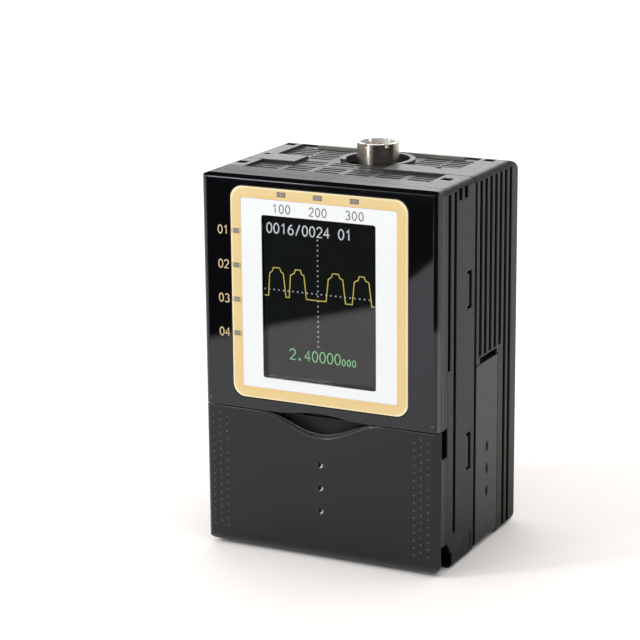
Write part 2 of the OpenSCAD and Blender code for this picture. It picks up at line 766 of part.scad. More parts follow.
// Upright slot in a side wall: a groove with windows behind it
module side_slot(y, z) {
    block([half_w - slot_depth, half_w + 1], y, z);
    pane_top = z[1] - top_wall / 2;
    panes = floor((pane_top - z[0] + pane_tie) / (pane_h + pane_tie));
    for (i = [0 : panes - 1])
        block([inner_x - 0.3, half_w], y,
            [pane_top - i * (pane_h + pane_tie) - pane_h, pane_top - i * (pane_h + pane_tie)]);
}

// Shallow panel low on the side of the front moulding, with a sloping upper edge
module foot_panel() {
    y0 = second_slot_y + slot_w + 3;
    y1 = seam_y - 1.2;
    translate([half_w - 0.12, 0, 0]) rotate([90, 0, 90]) linear_extrude(1)
        polygon([[y0, -1], [y0, 7.8], [y1 - 2.8, 7], [y1, 6], [y1, -1]]);
}

// Bracket-shaped slot that frees a snap tab in the side wall
module snap_slot(z) {
    tab_y = seam_y - 1.7;
    block([inner_x - 1, half_w + 1], [tab_y - slot_w, tab_y], z);
    for (e = [z[0], z[1] - 0.8])
        block([inner_x - 1, half_w + 1], [tab_y - slot_w - 1, tab_y - 1], [e, e + 0.8]);
}

// Slots of the grille: one block per row and column
module grille(columns, rows) {
    for (x = columns, y = rows)
        block([x - 3.1, x + 3.1], [y, y + grille_w], [case_h - top_wall - 1, case_h + 1]);
}

// Square hole for a snap in the top wall
module snap_hole(x, y) {
    block([x - 1.3, x + 1.3], [y - 1.3, y + 1.3], [case_h - top_wall - 1, case_h + 1]);
}

grille_x0 = -half_w + 5.5;
grille_x1 = half_w - 7.2;
front_columns = [for (i = [0 : 5]) grille_x0 + 4 + i * (grille_x1 - grille_x0 - 8) / 5];
front_rows = [for (i = [0 : 3]) 11.6 + i * grille_pitch];
middle_rows = [for (i = [0 : 1]) seam_y + 2 + i * grille_pitch];
rear_rows = [for (i = [0 : 5]) conn_y - 3.8 + i * grille_pitch];
collar_r = well_r + 1.3;
panel_back = case_d - 4.2;
groove_y = panel_back + 1.6;
groove_w = 0.6;
// Height of the top face at a depth within its rounded back edge
function back_edge(y) = case_h - back_r + sqrt(pow(back_r, 2) - pow(y - case_d + back_r, 2));
snap_x0 = -half_w + 2.9;
snap_x1 = half_w - 4.8;

// Front moulding of the housing: a tube between the frame and the seam
module front_case() color(BLACK_SATIN) at_front() {
    difference() {
        intersection() {
            outer_form();
            block([-big, big], [frame_back + seam_line, seam_y], [0, case_h]);
        }
        block([-inner_x, inner_x], [-1, big], [wall, case_h - top_wall]);
        block([-half_w + wall / 2, half_w - wall / 2], [seam_y - seam_lap, big], [wall / 2, case_h - wall / 2]);
        rod_x([-big, big], hinge_y, hinge_z, trough_r);
        block([-big, big], [-1, 7.8], [-1, hinge_z + 0.7]);
        both_sides() {
            side_slot([frame_back - 1, frame_back + 1.7], [first_slot_z, slot_top]);
            side_slot([second_slot_y, second_slot_y + slot_w], [second_slot_z, slot_top]);
            for (y = [10.6, 13.8])
                block([half_w - slot_depth, half_w + 1], [y, y + 2], [slot_top - 2.4, slot_top + 0.4]);
            snap_slot([low_snap_z, low_snap_z + snap_h]);
            snap_slot([high_snap_z, high_snap_z + snap_h]);
            foot_panel();
        }
        block([grille_x0, grille_x1], [10.4, big], [panel_z, big]);
        grille(front_columns, front_rows);
        for (x = [snap_x0, snap_x1]) snap_hole(x, 15);
        for (x = [-21 : 3 : 21]) block([x - 0.7, x + 0.7], [10.5, 17], [-1, wall + 1]);
    }
    // Trough wall that closes the inside behind the hinge
    difference() {
        intersection() {
            rod_x([-inner_x - 0.1, inner_x + 0.1], hinge_y, hinge_z, trough_r + trough_t);
            block([-big, big], [frame_back + seam_line, 12], [0, deck_z0 + 0.9]);
        }
        rod_x([-big, big], hinge_y, hinge_z, trough_r);
        block([-big, big], [-1, 7.8], [-1, hinge_z + 0.7]);
    }
    // Posts for the screws, and ribs that the main board rests on
    both_sides() {
        for (z = [screw_z, case_h - screw_z]) difference() {
            union() {
                rod_y(screw_x, [10, seam_y - seam_lap - fit_gap], z, post_r);
                block([screw_x, inner_x + 0.1], [10, seam_y - seam_lap - fit_gap], [z - 1, z + 1]);
            }
            rod_y(screw_x, [9, big], z, screw_r + 0.05);
        }
        block([board_x - 0.6, inner_x + 0.1], [main_y - 1.4, main_y], [board_z0 + 3, board_z1 - 3]);
    }
}

// Rear moulding of the housing: back wall, vents, connector well and rail hooks
module rear_case() color(BLACK_SATIN) at_front() {
    difference() {
        union() {
            difference() {
                rear_shell();
                rear_side_cuts();
            }
            well_wall();
        }
        rear_top_cuts();
        rear_bottom_cuts();
        both_sides() for (z = [screw_z, case_h - screw_z]) {
            rod_y(screw_x, [0, big], z, screw_r + 0.15);
            rod_y(screw_x, [case_d - screw_head_t - 0.4, big], z, screw_head_r + 0.2);
        }
        latch_channel();
    }
    rail_hooks();
    // Peg that the latch spring pushes against
    block([-window_x + 0.3, window_x - 0.3], [channel_y - 0.1, channel_y + 1.7], [post_z0, post_z1]);
    // Raised bars at the back of the grille
    for (x = [[-20.3, -9.2], [3, 18.3]])
        block(x, [panel_back - 1.9, panel_back - 0.8], [panel_z - 0.2, case_h]);
}

// Shell with its tongue, seats, bosses and channel walls, before any cuts
module rear_shell() {
    difference() {
        intersection() {
            outer_form();
            union() {
                block([-big, big], [seam_y + 0.4, case_d], [0, case_h]);
                intersection() {
                    block([-big, big], [seam_y - seam_lap + fit_gap, seam_y + 1], [0, case_h]);
                    block([-half_w + wall / 2 + fit_gap, half_w - wall / 2 - fit_gap], [0, big],
                        [wall / 2 + fit_gap, case_h - wall / 2 - fit_gap]);
                }
            }
        }
        rear_hollow();
    }
    intersection() {
        outer_form();
        union() {
            both_sides() {
                block([half_w - seat_t, half_w - 1], [seam_y + 0.1, seat_y1 + 2.2], [0, cover_h + 2.6]);
                block([half_w - 5, half_w - 1], [seam_y + 0.1, seat_y1 + 2.2], [0, cover_hinge_z + 2.4]);
                for (z = [screw_z, case_h - screw_z])
                    rod_y(screw_x, [case_d - 5.5, case_d - 1], z, screw_head_r + 1);
                for (z = [board_z0 + 5, board_z1 - 5])
                    rod_y(20, [power_y + board_t, case_d - 1], z, 2);
            }
            block([-latch_flange_x - 0.3 - channel_wall, latch_flange_x + 0.3 + channel_wall],
                [channel_y - channel_wall, case_d - 1], [0, latch_z1 + 3]);
        }
    }
}

// Inside of the rear moulding, its back corners rounded like the outside
module rear_hollow() {
    translate([-inner_x, 0, wall]) rotate([90, 0, 90]) linear_extrude(2 * inner_x)
        rounded_outline(case_d - wall, case_h - top_wall - wall, [0, heel_r - wall, back_r - wall, 0]);
}

module rear_side_cuts() {
    both_sides() {
        // Shadow gap along the seam
        block([half_w - 0.8, half_w + 1], [seam_y - 3, seam_y + seam_gap], [-1, slot_top]);
        // Rebate, opening and pry slot of the bus cover
        block([half_w - cover_t - 0.2, big], [seam_y, seat_y1], [cover_hinge_z + 2, cover_h + 0.3]);
        block([half_w - cover_t - 0.2, big], [cover_y0 - 0.2, seat_y1], [-1, cover_h]);
        block([half_w - seat_t - 1, big], [pry_y0, pry_y1], [cover_h + 0.3, cover_h + 1.6]);
        block([half_w - cover_t - 0.2, big], [pry_y0, pry_y1], [cover_h, cover_h + 1.6]);
        block([half_w - seat_t - 2, big], [bus_y - bus_w / 2 - 0.2, bus_y + bus_w / 2 + 0.2],
            [bus_z0 - 0.3, bus_z1 + 0.3]);
        rod_y(cover_hinge_x, [cover_y0 - 0.2, seat_y1], cover_hinge_z, cover_roll_r + run_gap);
        block([cover_hinge_x - cover_roll_r - run_gap, big], [cover_y0 - 0.2, seat_y1], [-1, cover_hinge_z]);
        rod_y(cover_hinge_x, [cover_y0 - 1, cover_y1 + 1.3], cover_hinge_z, stub_r + 0.05);
        // Vent slots: the short ones end over the cover, the last two reach the foot
        for (i = [0 : vent_count - 1])
            side_slot([first_vent_y + i * slot_pitch - slot_w / 2, first_vent_y + i * slot_pitch + slot_w / 2],
                [i < vent_count - long_vents ? vent_foot_z : 1, slot_top]);
    }
}

// Round wall and floor that carry the sensor connector below the top face
module well_wall() {
    intersection() {
        union() {
            difference() {
                rod_z(0, conn_y, [well_floor_z, panel_z], collar_r);
                rod_z(0, conn_y, [well_floor_z + well_floor_t, case_h + 1], well_r);
            }
            rod_z(0, conn_y, [panel_z - 1, case_h], collar_r);
        }
        block([-big, big], [well_y0 - 1.4, big], [0, big]);
    }
    block([-collar_r + 1, collar_r - 1], [well_y0 - 1.4, well_y0],
        [well_floor_z, case_h - 1]);
}

module rear_top_cuts() {
    // Opening of the well, with a straight front edge
    intersection() {
        rod_z(0, conn_y, [well_floor_z + well_floor_t, big], well_r);
        block([-big, big], [well_y0, big], [0, big]);
    }
    rod_z(0, conn_y, [well_floor_z - 1, big], conn_body_r + fit_gap);
    // Sunk panels, clear of the collar
    difference() {
        union() {
            block([grille_x0, grille_x1], [conn_y - 4.4, panel_back], [panel_z, big]);
            block([front_columns[1] - 3.6, front_columns[3] + 3.6], [seam_y - 1, conn_y - 4.3], [panel_z, big]);
        }
        intersection() {
            rod_z(0, conn_y, [0, big], collar_r);
            block([-big, big], [conn_y - 4.4, big], [0, big]);
        }
    }
    grille([for (i = [1 : 3]) front_columns[i]], middle_rows);
    grille([grille_x0 + 3.7, grille_x0 + 10.7, grille_x1 - 10.4, grille_x1 - 3.6], rear_rows);
    for (x = [snap_x0, snap_x1]) snap_hole(x, panel_back - 2.8);
    for (x = [-half_w + 3.4, half_w - 12]) rod_z(x, seam_y + 6.6, [case_h - 1, big], 0.8);
    block([grille_x0 - 1, grille_x1 - 1], [groove_y, groove_y + groove_w],
        [back_edge(groove_y + groove_w) - 0.4, big]);
}

module rear_bottom_cuts() {
    block([-io_x - 0.2, io_x + 0.2], [io_y0 - 0.2, power_y + 0.2], [-1, wall + 1]);
    for (x = [-21 : 3 : 21]) block([x - 0.7, x + 0.7], [seam_y + 1.6, seam_y + 6.2], [-1, wall + 1]);
}

// Hollow that the latch slides in: wide inside, narrow at the back face
module latch_channel() {
    block([-latch_flange_x - 0.3, latch_flange_x + 0.3], [channel_y, latch_y1 + 0.3], [-1, latch_z1 + 0.3]);
    block([-latch_x - 0.3, latch_x + 0.3], [channel_y, big], [-1, latch_z1 + 0.3]);
}

// Two fixed hooks over the upper edge of the rail
module rail_hooks() {
    both_sides() difference() {
        block([hook_x - hook_w / 2, hook_x + hook_w / 2], [case_d - 0.5, case_d + rail_gap + lip_t],
            [rail_hi - 2.6, rail_hi + 3]);
        block([0, big], [case_d, case_d + rail_gap], [0, rail_hi + 0.2]);
        translate([hook_x, case_d + rail_gap + lip_t, rail_hi - 2.6]) rotate([45, 0, 0])
            cube([hook_w + 1, 1.6, 1.6], center = true);
    }
}

// Sprung latch under the lower edge of the rail, pulled down to let go
module rail_latch() color(GREY_KEY) at_front() difference() {
    union() {
        block([-latch_flange_x, latch_flange_x], [latch_y0, latch_y1], [latch_z0 + 4, latch_z1]);
        block([-latch_x, latch_x], [latch_y0, case_d], [latch_z0, latch_z1]);
        block([-latch_x, latch_x], [case_d - 0.1, case_d + rail_gap + lip_t], [rail_lo - 3.4, rail_lo + 2.4]);
        block([-latch_x, latch_x], [case_d - 0.1, case_d + 1.6], [latch_z0, latch_z0 + 5]);
    }
    block([-big, big], [case_d, case_d + rail_gap], [rail_lo - 0.2, big]);
    translate([0, case_d + rail_gap + lip_t, rail_lo + 2.4]) rotate([45, 0, 0])
        cube([2 * latch_x + 1, 1.6, 1.6], center = true);
    block([-window_x, window_x], [0, case_d + 0.5], [window_lo, window_hi]);
    block([-1.6, 1.6], [case_d - 1.2, big], [latch_z0 + 1.6, latch_z0 + 3]);
}

// Coil spring between the peg and the top of the window in the latch
spring_y = channel_y + 1.5;
spring_z0 = post_z1 + wire_r + 0.1;
spring_z1 = window_hi - wire_r - 0.1;
ring_n = 8;
steps_per_turn = 14;

function coil_point(t, a) =
    let (turn = 360 * spring_turns * t, r = spring_r + wire_r * cos(a))
    [r * cos(turn), spring_y + r * sin(turn), spring_z0 + (spring_z1 - spring_z0) * t + wire_r * sin(a)];

module latch_spring() color(NICKEL) at_front() {
    steps = spring_turns * steps_per_turn;
    points = [for (i = [0 : steps]) for (j = [0 : ring_n - 1]) coil_point(i / steps, 360 * j / ring_n)];
    sides = [for (i = [0 : steps - 1]) for (j = [0 : ring_n - 1])
        let (a = i * ring_n + j, b = i * ring_n + (j + 1) % ring_n) [a, a + ring_n, b + ring_n, b]];
    ends = [[for (j = [0 : ring_n - 1]) j], [for (j = [0 : ring_n - 1]) (steps + 1) * ring_n - 1 - j]];
    polyhedron(points, concat(sides, ends), convexity = 10);
}

// Shell of the round connector: barrel with a notched rim, flange and bore
module connector_shell() color(NICKEL) at_front() difference() {
    union() {
        rod_z(0, conn_y, [conn_foot_z, case_h + 0.1], conn_body_r);
        rod_z(0, conn_y, [case_h, conn_top], conn_r);
        intersection() {
            rod_z(0, conn_y, [well_floor_z + well_floor_t, well_floor_z + well_floor_t + 1], well_r - 0.5);
            block([-big, big], [well_y0 + 0.2, big], [0, big]);
        }
    }
    rod_z(0, conn_y, [conn_top - conn_recess, big], conn_r - 0.8);
    rod_z(0, conn_y, [0, big], conn_bore_r);
    for (a = [0 : 60 : 300]) translate([0, conn_y, conn_top]) rotate(a + 20)
        block([conn_r - 2, conn_r + 1], [-0.45, 0.45], [-0.7, 1]);
}

// Insert that holds the contacts in the shell
module connector_insert() color([0.1, 0.1, 0.1]) at_front() {
    rod_z(0, conn_y, [conn_foot_z + 1, conn_top - conn_recess - 0.2], conn_bore_r - fit_gap / 2);
}

// Contacts: seven round the middle and one in it
module connector_contacts() color("gold") at_front()
    for (p = concat([[0, 0]], [for (i = [0 : 6]) conn_r / 2 * [cos(i * 360 / 7), sin(i * 360 / 7)]]))
        rod_z(p[0], conn_y + p[1], [conn_top - conn_recess - 0.2, conn_top - 0.8], contact_r);

// Hexagonal nut under the floor of the well
module connector_nut() color(NICKEL) at_front() difference() {
    translate([0, conn_y, conn_foot_z + 0.6])
        cylinder(r = conn_body_r + 2.2, h = well_floor_z - conn_foot_z - 0.7, $fn = 6);
    rod_z(0, conn_y, [0, big], conn_body_r);
}

// Long screws from the back into the posts of the front moulding
module case_screws() color(NICKEL) at_front()
    both_sides() for (z = [screw_z, case_h - screw_z]) difference() {
        union() {
            rod_y(screw_x, [screw_tip_y, case_d - screw_head_t], z, screw_r);
            rod_y(screw_x, [case_d - screw_head_t - 0.4, case_d - 0.4], z, screw_head_r);
        }
        for (a = [0, 90]) translate([screw_x, case_d - 0.4, z]) rotate([0, a, 0])
            cube([2.6, 1.4, 0.6], center = true);
    }

front_bezel();
trim_ring();
display_field();
display_window();
status_light_guide();
channel_light_guide();
front_frame();
key_deck();
key_flap();
flap_hinge_pin();
cursor_key(cursor_keys[0]);  // key_up
cursor_key(cursor_keys[1]);  // key_down
cursor_key(cursor_keys[2]);  // key_left
cursor_key(cursor_keys[3]);  // key_right
round_key(round_keys[0]);  // key_enter
round_key(round_keys[1]);  // key_back
round_key(round_keys[2]);  // key_menu
mode_knob();
mode_switch();
key_switches();
key_board();
usb_socket();
lcd_panel();
lcd_frame();
backlight();
display_board();
main_board();
heat_sink();
power_board();
capacitors();
board_spacers();
board_links();
bus_connector_right();
bus_connector_left();
bus_cover_right();
bus_cover_left();
io_connector();
front_case();
rear_case();
connector_shell();
connector_insert();
connector_contacts();
connector_nut();
rail_latch();
latch_spring();
case_screws();
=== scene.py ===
import json
import math

import bpy
import numpy as np
from bpy.props import (BoolProperty, FloatProperty, FloatVectorProperty, PointerProperty,
                       StringProperty)
from mathutils import Matrix, Vector


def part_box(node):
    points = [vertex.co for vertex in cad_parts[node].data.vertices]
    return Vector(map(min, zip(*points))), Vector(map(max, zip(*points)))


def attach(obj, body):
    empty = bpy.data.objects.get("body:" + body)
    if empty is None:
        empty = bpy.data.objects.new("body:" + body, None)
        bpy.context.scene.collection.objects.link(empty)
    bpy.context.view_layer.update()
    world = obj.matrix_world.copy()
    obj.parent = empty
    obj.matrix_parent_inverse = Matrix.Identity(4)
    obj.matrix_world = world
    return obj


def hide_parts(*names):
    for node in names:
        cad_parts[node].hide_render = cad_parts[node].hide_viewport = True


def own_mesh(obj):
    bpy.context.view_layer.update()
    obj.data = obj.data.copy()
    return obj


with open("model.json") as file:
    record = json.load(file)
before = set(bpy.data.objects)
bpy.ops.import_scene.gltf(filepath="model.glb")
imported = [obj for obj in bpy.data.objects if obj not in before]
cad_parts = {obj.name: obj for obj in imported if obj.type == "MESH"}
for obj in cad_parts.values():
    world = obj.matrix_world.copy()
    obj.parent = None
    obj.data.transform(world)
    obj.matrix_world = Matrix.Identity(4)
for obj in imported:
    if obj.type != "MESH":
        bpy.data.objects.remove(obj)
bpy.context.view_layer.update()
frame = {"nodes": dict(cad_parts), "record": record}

bl_info = {
    "name": "Sensor Controller Dresser",
    "version": (1, 0, 0),
    "blender": (4, 5, 0),
    "location": "View3D > Sidebar > Controller",
    "description": "Dresses a sensor controller with a colour display: finishes, display picture "
                   "and stage",
    "category": "Object",
}

NODES = frame["nodes"]
MM = 0.001


def node_box(name):
    """Lowest and highest corner of a node, in millimetres."""
    low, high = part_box(name)
    return np.array(low) / MM, np.array(high) / MM


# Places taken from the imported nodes, in millimetres
FRONT_Y = node_box("front_bezel")[0][1]
FLAP_Y = node_box("key_flap")[0][1]
FRAME_Y = float(node_box("front_frame")[0][1])
WINDOW_BACK = node_box("display_window")[1][1]
CELL_FRONT = node_box("lcd_panel")[0][1]
RING_LOW, RING_HIGH = node_box("trim_ring")
FIELD_RIGHT = node_box("display_field")[1][0]
BARREL_Y = float(sum(node_box("connector_shell"))[1]) / 2
# Thickness of the prints, in millimetres
PRINT_T = 0.012


# ---------------------------------------------------------------- meshes
def add_piece(name, points, faces, material, body, smooth_angle=None):
    """A mesh object from points in millimetres and index rows, riding on a body."""
    mesh = bpy.data.meshes.new(name)
    places = (np.asarray(points, float) * MM).tolist()
    mesh.from_pydata(places, [], [list(map(int, f)) for f in faces])
    mesh.validate()
    if smooth_angle is not None:
        mesh.polygons.foreach_set("use_smooth", np.ones(len(mesh.polygons), bool))
        mesh.set_sharp_from_angle(angle=math.radians(smooth_angle))
    mesh.materials.append(material)
    piece = bpy.data.objects.new(name, mesh)
    bpy.context.scene.collection.objects.link(piece)
    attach(piece, body)
    return piece


def grid_faces(rows, columns, wrap_rows=False, wrap_columns=False):
    """Quads of a grid of points stored row by row; a wrapped side joins its last line to its
    first."""
    r = np.arange(rows if wrap_rows else rows - 1)
    c = np.arange(columns if wrap_columns else columns - 1)
    rr, cc = np.meshgrid(r, c, indexing="ij")
    r1, c1 = (rr + 1) % rows, (cc + 1) % columns
    corners = [rr * columns + cc, r1 * columns + cc, r1 * columns + c1, rr * columns + c1]
    return np.stack(corners, -1).reshape(-1, 4)


class Parts:
    """Gathers point and face arrays of many small forms into one mesh."""

    def __init__(self):
        self.points, self.faces, self.count = [], [], 0

    def add(self, points, faces):
        points = np.asarray(points, float).reshape(-1, 3)
        self.points.append(points)
        self.faces.extend((np.asarray(f) + self.count).tolist() for f in faces)
        self.count += len(points)

    def make(self, name, material, body, slot, smooth_angle=None):
        points = np.concatenate(self.points)
        add_piece(name, points, self.faces, material, body, smooth_angle)


# Strokes: the longest mitre in half widths, and the least cosine that it is worked out from
LONGEST_MITRE, LEAST_COSINE = 1.8, 0.3


def stroke(path, width, thickness, front_y, closed=False):
    """Flat stroke along a path in the X-Z plane: at each point the section is a rectangle, width
    across the mitred normal and thickness back from front_y; open ends are square."""
    path = np.asarray(path, float)
    if closed:
        ahead, behind = np.roll(path, -1, 0) - path, path - np.roll(path, 1, 0)
    else:
        ahead = np.vstack([path[1:] - path[:-1], path[-1:] - path[-2:-1]])
        behind = np.vstack([path[1:2] - path[:1], path[1:] - path[:-1]])
    ahead /= np.linalg.norm(ahead, axis=1)[:, None]
    behind /= np.linalg.norm(behind, axis=1)[:, None]
    along = ahead + behind
    along /= np.linalg.norm(along, axis=1)[:, None]
    cosine = np.maximum((along * ahead).sum(1), LEAST_COSINE)
    reach = np.minimum(1 / cosine, LONGEST_MITRE)[:, None]
    side = np.stack([-along[:, 1], along[:, 0]], 1) * reach * width / 2
    left, right = path + side, path - side
    n = len(path)
    ring = np.empty((n, 4, 3))
    for k, (edge, y) in enumerate(((left, 0), (right, 0), (right, thickness), (left, thickness))):
        ring[:, k, 0], ring[:, k, 1], ring[:, k, 2] = edge[:, 0], front_y + y, edge[:, 1]
    faces = grid_faces(n, 4, closed, True).tolist()
    if not closed:
        faces += [[0, 1, 2, 3], [4 * n - 1, 4 * n - 2, 4 * n - 3, 4 * n - 4]]
    return ring.reshape(-1, 3), faces


def arc(cx, cz, rx, rz, start, stop, steps=18):
    """Points of an elliptic arc, angles in degrees from +X towards +Z."""
    a = np.radians(np.linspace(start, stop, steps))
    return np.stack([cx + rx * np.cos(a), cz + rz * np.sin(a)], 1)


# Centre lines of the figures, in cells 1 high and this wide
FIGURE_WIDTH = 0.6
FIGURES = {
    "0": [arc(0.3, 0.5, 0.25, 0.46, 0, 360, 33)],
    "1": [[(0.12, 0.74), (0.34, 0.96), (0.34, 0.04)]],
    "2": [np.vstack([arc(0.3, 0.7, 0.25, 0.26, 170, -35), [(0.06, 0.05), (0.56, 0.05)]])],
    "3": [np.vstack([arc(0.28, 0.735, 0.23, 0.225, 150, -80),
                     arc(0.28, 0.28, 0.27, 0.24, 80, -150)])],
    "4": [[(0.42, 0.04), (0.42, 0.95), (0.04, 0.32), (0.58, 0.32)]],
    "5": [np.vstack([[(0.52, 0.95), (0.12, 0.95), (0.09, 0.52)],
                     arc(0.28, 0.32, 0.27, 0.28, 125, -150)])],
    "6": [arc(0.31, 0.31, 0.25, 0.27, 0, 360, 29), arc(0.62, 0.31, 0.56, 0.66, 180, 108)],
    "7": [[(0.05, 0.95), (0.56, 0.95), (0.22, 0.04)]],
    "8": [arc(0.3, 0.74, 0.2, 0.21, 0, 360, 25), arc(0.3, 0.28, 0.25, 0.24, 0, 360, 29)],
    "9": [arc(0.29, 0.69, 0.25, 0.27, 0, 360, 29), arc(-0.02, 0.69, 0.56, 0.66, 0, -72)],
    ".": [[(0.2, 0.0), (0.2, 0.2)], [(0.28, 0.0), (0.28, 0.2)]],
    "/": [[(0.1, 0.0), (0.5, 1.0)]],
    "-": [[(0.1, 0.48), (0.5, 0.48)]],
}


def figures(parts, words, x, z, height, weight, pitch, front_y, thickness=PRINT_T, align=0.0):
    """A row of figures as flat strokes, pitch times their height apart; x is its left end, or its
    middle with align 0.5."""
    left = x - align * height * (pitch * len(words) - (pitch - FIGURE_WIDTH))
    for k, figure in enumerate(words):
        for line in FIGURES.get(figure, ()):
            path = np.asarray(line, float) * height + (left + k * pitch * height, z)
            closed = np.allclose(path[0], path[-1])
            parts.add(*stroke(path[:-1] if closed else path, weight, thickness, front_y, closed))


def block(parts, low, high):
    """Box between two corners, its eight corners from the three pairs of limits."""
    xs, ys, zs = zip(low, high)
    corners = [(x, y, z) for x in xs for y in ys for z in zs]
    sides = [[0, 1, 3, 2], [4, 6, 7, 5], [0, 4, 5, 1], [2, 3, 7, 6], [0, 2, 6, 4], [1, 5, 7, 3]]
    parts.add(corners, sides)


def dome(parts, x, z, radius, height, front_y, steps=10, rings=3):
    """Low spherical cap on the front: height falls as 1 - (r / radius) squared to a flat base."""
    r = np.linspace(1, 0, rings + 1)[:-1]
    a = np.radians(np.arange(steps) * 360 / steps)
    rr, aa = np.meshgrid(r, a, indexing="ij")
    across, up = x + radius * rr * np.cos(aa), z + radius * rr * np.sin(aa)
    shape = np.stack([across, front_y - height * (1 - rr**2), up], -1)
    points = np.vstack([shape.reshape(-1, 3), [[x, front_y - height, z]]])
    faces = grid_faces(rings, steps, False, True).tolist()
    tip = rings * steps
    last = (rings - 1) * steps
    faces += [[last + k, tip, last + (k + 1) % steps] for k in range(steps)]
    faces.append(list(range(steps)))
    parts.add(points, faces)


# ---------------------------------------------------------------- finishes
# Noises as scale, detail and roughness: clouding of the colour, clouding of the gloss, and grain
CLOUDS, GLOSS_CLOUDS, GRAIN = (90, 4, 0.6), (700, 3), (5200, 2, 0.6)
# Metres: depth of grain and tool marks, and rounding of the edges of a moulding
GRAIN_DEPTH, EDGE_R = 0.00002, 0.00025
# Cosines of the turn at an edge, from where the painted edge highlight, with wear on the housing,
# is strongest to where it ends
SHEEN_AND_WEAR_TURN = (0.7, 0.98)


def shade(color, factor):
    """A colour with its three parts multiplied."""
    return tuple(factor * c for c in color)


class Finish:
    """A node material with a Principled shader, and short calls for the nodes that feed it."""

    def __init__(self, name, color, rough, metal=0.0, specular=0.5):
        self.material = bpy.data.materials.new(name)
        self.material.use_nodes = True
        self.tree = self.material.node_tree
        self.shader = self.tree.nodes["Principled BSDF"]
        self.put("Base Color", (*color, 1))
        self.put("Roughness", rough)
        self.put("Metallic", metal)
        self.put("Specular IOR Level", specular)
        self.coords = self.node("ShaderNodeTexCoord").outputs["Object"]

    def node(self, kind, **values):
        made = self.tree.nodes.new(kind)
        for key, value in values.items():
            setattr(made, key, value)
        return made

    def link(self, source, target):
        self.tree.links.new(source, target)

    def put(self, socket, value):
        self.shader.inputs[socket].default_value = value

    def to(self, socket, value):
        self.link(value, self.shader.inputs[socket])

    def stretched(self, scale):
        """Object coordinates multiplied by three factors."""
        mapping = self.node("ShaderNodeMapping")
        mapping.inputs["Scale"].default_value = scale
        self.link(self.coords, mapping.inputs["Vector"])
        return mapping.outputs["Vector"]

    def noise(self, scale, detail=2.0, rough=0.5, coords=None):
        """Noise over the object coordinates, or over others."""
        made = self.node("ShaderNodeTexNoise")
        made.inputs["Scale"].default_value = scale
        made.inputs["Detail"].default_value = detail
        made.inputs["Roughness"].default_value = rough
        self.link(coords or self.coords, made.inputs["Vector"])
        return made.outputs["Fac"]

    def span(self, value, low, high, from_low=0.3, from_high=0.7):
        """Low to high as the value runs between two limits, which suit a noise if none are given;
        beyond them it stays as it is there."""
        made = self.node("ShaderNodeMapRange")
        made.inputs["From Min"].default_value = from_low
        made.inputs["From Max"].default_value = from_high
        made.inputs["To Min"].default_value = low
        made.inputs["To Max"].default_value = high
        self.link(value, made.inputs["Value"])
        return made.outputs["Result"]

    def math(self, operation, a, b=None, c=None):
        """A math node; each value is a number or a socket."""
        made = self.node("ShaderNodeMath", operation=operation)
        for socket, value in zip(made.inputs, (a, b, c)):
            if isinstance(value, (int, float)):
                socket.default_value = value
            elif value is not None:
                self.link(value, socket)
        return made.outputs["Value"]

    def mix(self, factor, color_a, color_b):
        """From the first colour to the second; each is three numbers or a socket."""
        made = self.node("ShaderNodeMix", data_type="RGBA")
        self.link(factor, made.inputs["Factor"])
        for name, value in (("A", color_a), ("B", color_b)):
            socket = [s for s in made.inputs if s.name == name and s.type == "RGBA"][0]
            if isinstance(value, tuple):
                socket.default_value = (*value, 1)
            else:
                self.link(value, socket)
        return [s for s in made.outputs if s.type == "RGBA"][0]

    def clouded(self, noise, color_a, color_b):
        """A colour that wanders between two with a noise."""
        return self.mix(self.span(noise, 0.0, 1.0), color_a, color_b)

    def axis(self, k):
        """One object coordinate, in millimetres."""
        split = self.node("ShaderNodeSeparateXYZ")
        self.link(self.coords, split.inputs["Vector"])
        return self.math("MULTIPLY", split.outputs[k], 1 / MM)

    def rounded(self, radius):
        """The surface's direction with edges rounded over a radius in metres."""
        bevel = self.node("ShaderNodeBevel", samples=4)
        bevel.inputs["Radius"].default_value = radius
        return bevel.outputs["Normal"]

    def facing(self, radius=0.0):
        """The three parts of the surface's direction, with edges rounded if a radius is given."""
        split = self.node("ShaderNodeSeparateXYZ")
        if radius:
            self.link(self.rounded(radius), split.inputs["Vector"])
        else:
            face = self.node("ShaderNodeNewGeometry")
            self.link(face.outputs["Normal"], split.inputs["Vector"])
        return split.outputs

    def lit_and_worn_edges(self, radius, gain):
        """0 on flat places, up to the gain where the surface turns within the radius in metres."""
        face = self.node("ShaderNodeNewGeometry")
        turn = self.node("ShaderNodeVectorMath", operation="DOT_PRODUCT")
        self.link(self.rounded(radius), turn.inputs[0])
        self.link(face.outputs["True Normal"], turn.inputs[1])
        return self.span(turn.outputs["Value"], gain, 0.0, *SHEEN_AND_WEAR_TURN)

    def inside(self, low, high):
        """1 within the box between two corners in millimetres, 0 outside it."""
        mask = None
        for k in range(3):
            value = self.axis(k)
            for operation, limit in (("GREATER_THAN", low[k]), ("LESS_THAN", high[k])):
                test = self.math(operation, value, float(limit))
                mask = test if mask is None else self.math("MULTIPLY", mask, test)
        return mask

    def relief(self, height, strength, distance, rounding=0.0):
        """Bump over an edge rounding, both in metres."""
        bump = self.node("ShaderNodeBump")
        bump.inputs["Strength"].default_value = strength
        bump.inputs["Distance"].default_value = distance
        self.link(height, bump.inputs["Height"])
        if rounding:
            self.link(self.rounded(rounding), bump.inputs["Normal"])
        self.link(bump.outputs["Normal"], self.shader.inputs["Normal"])


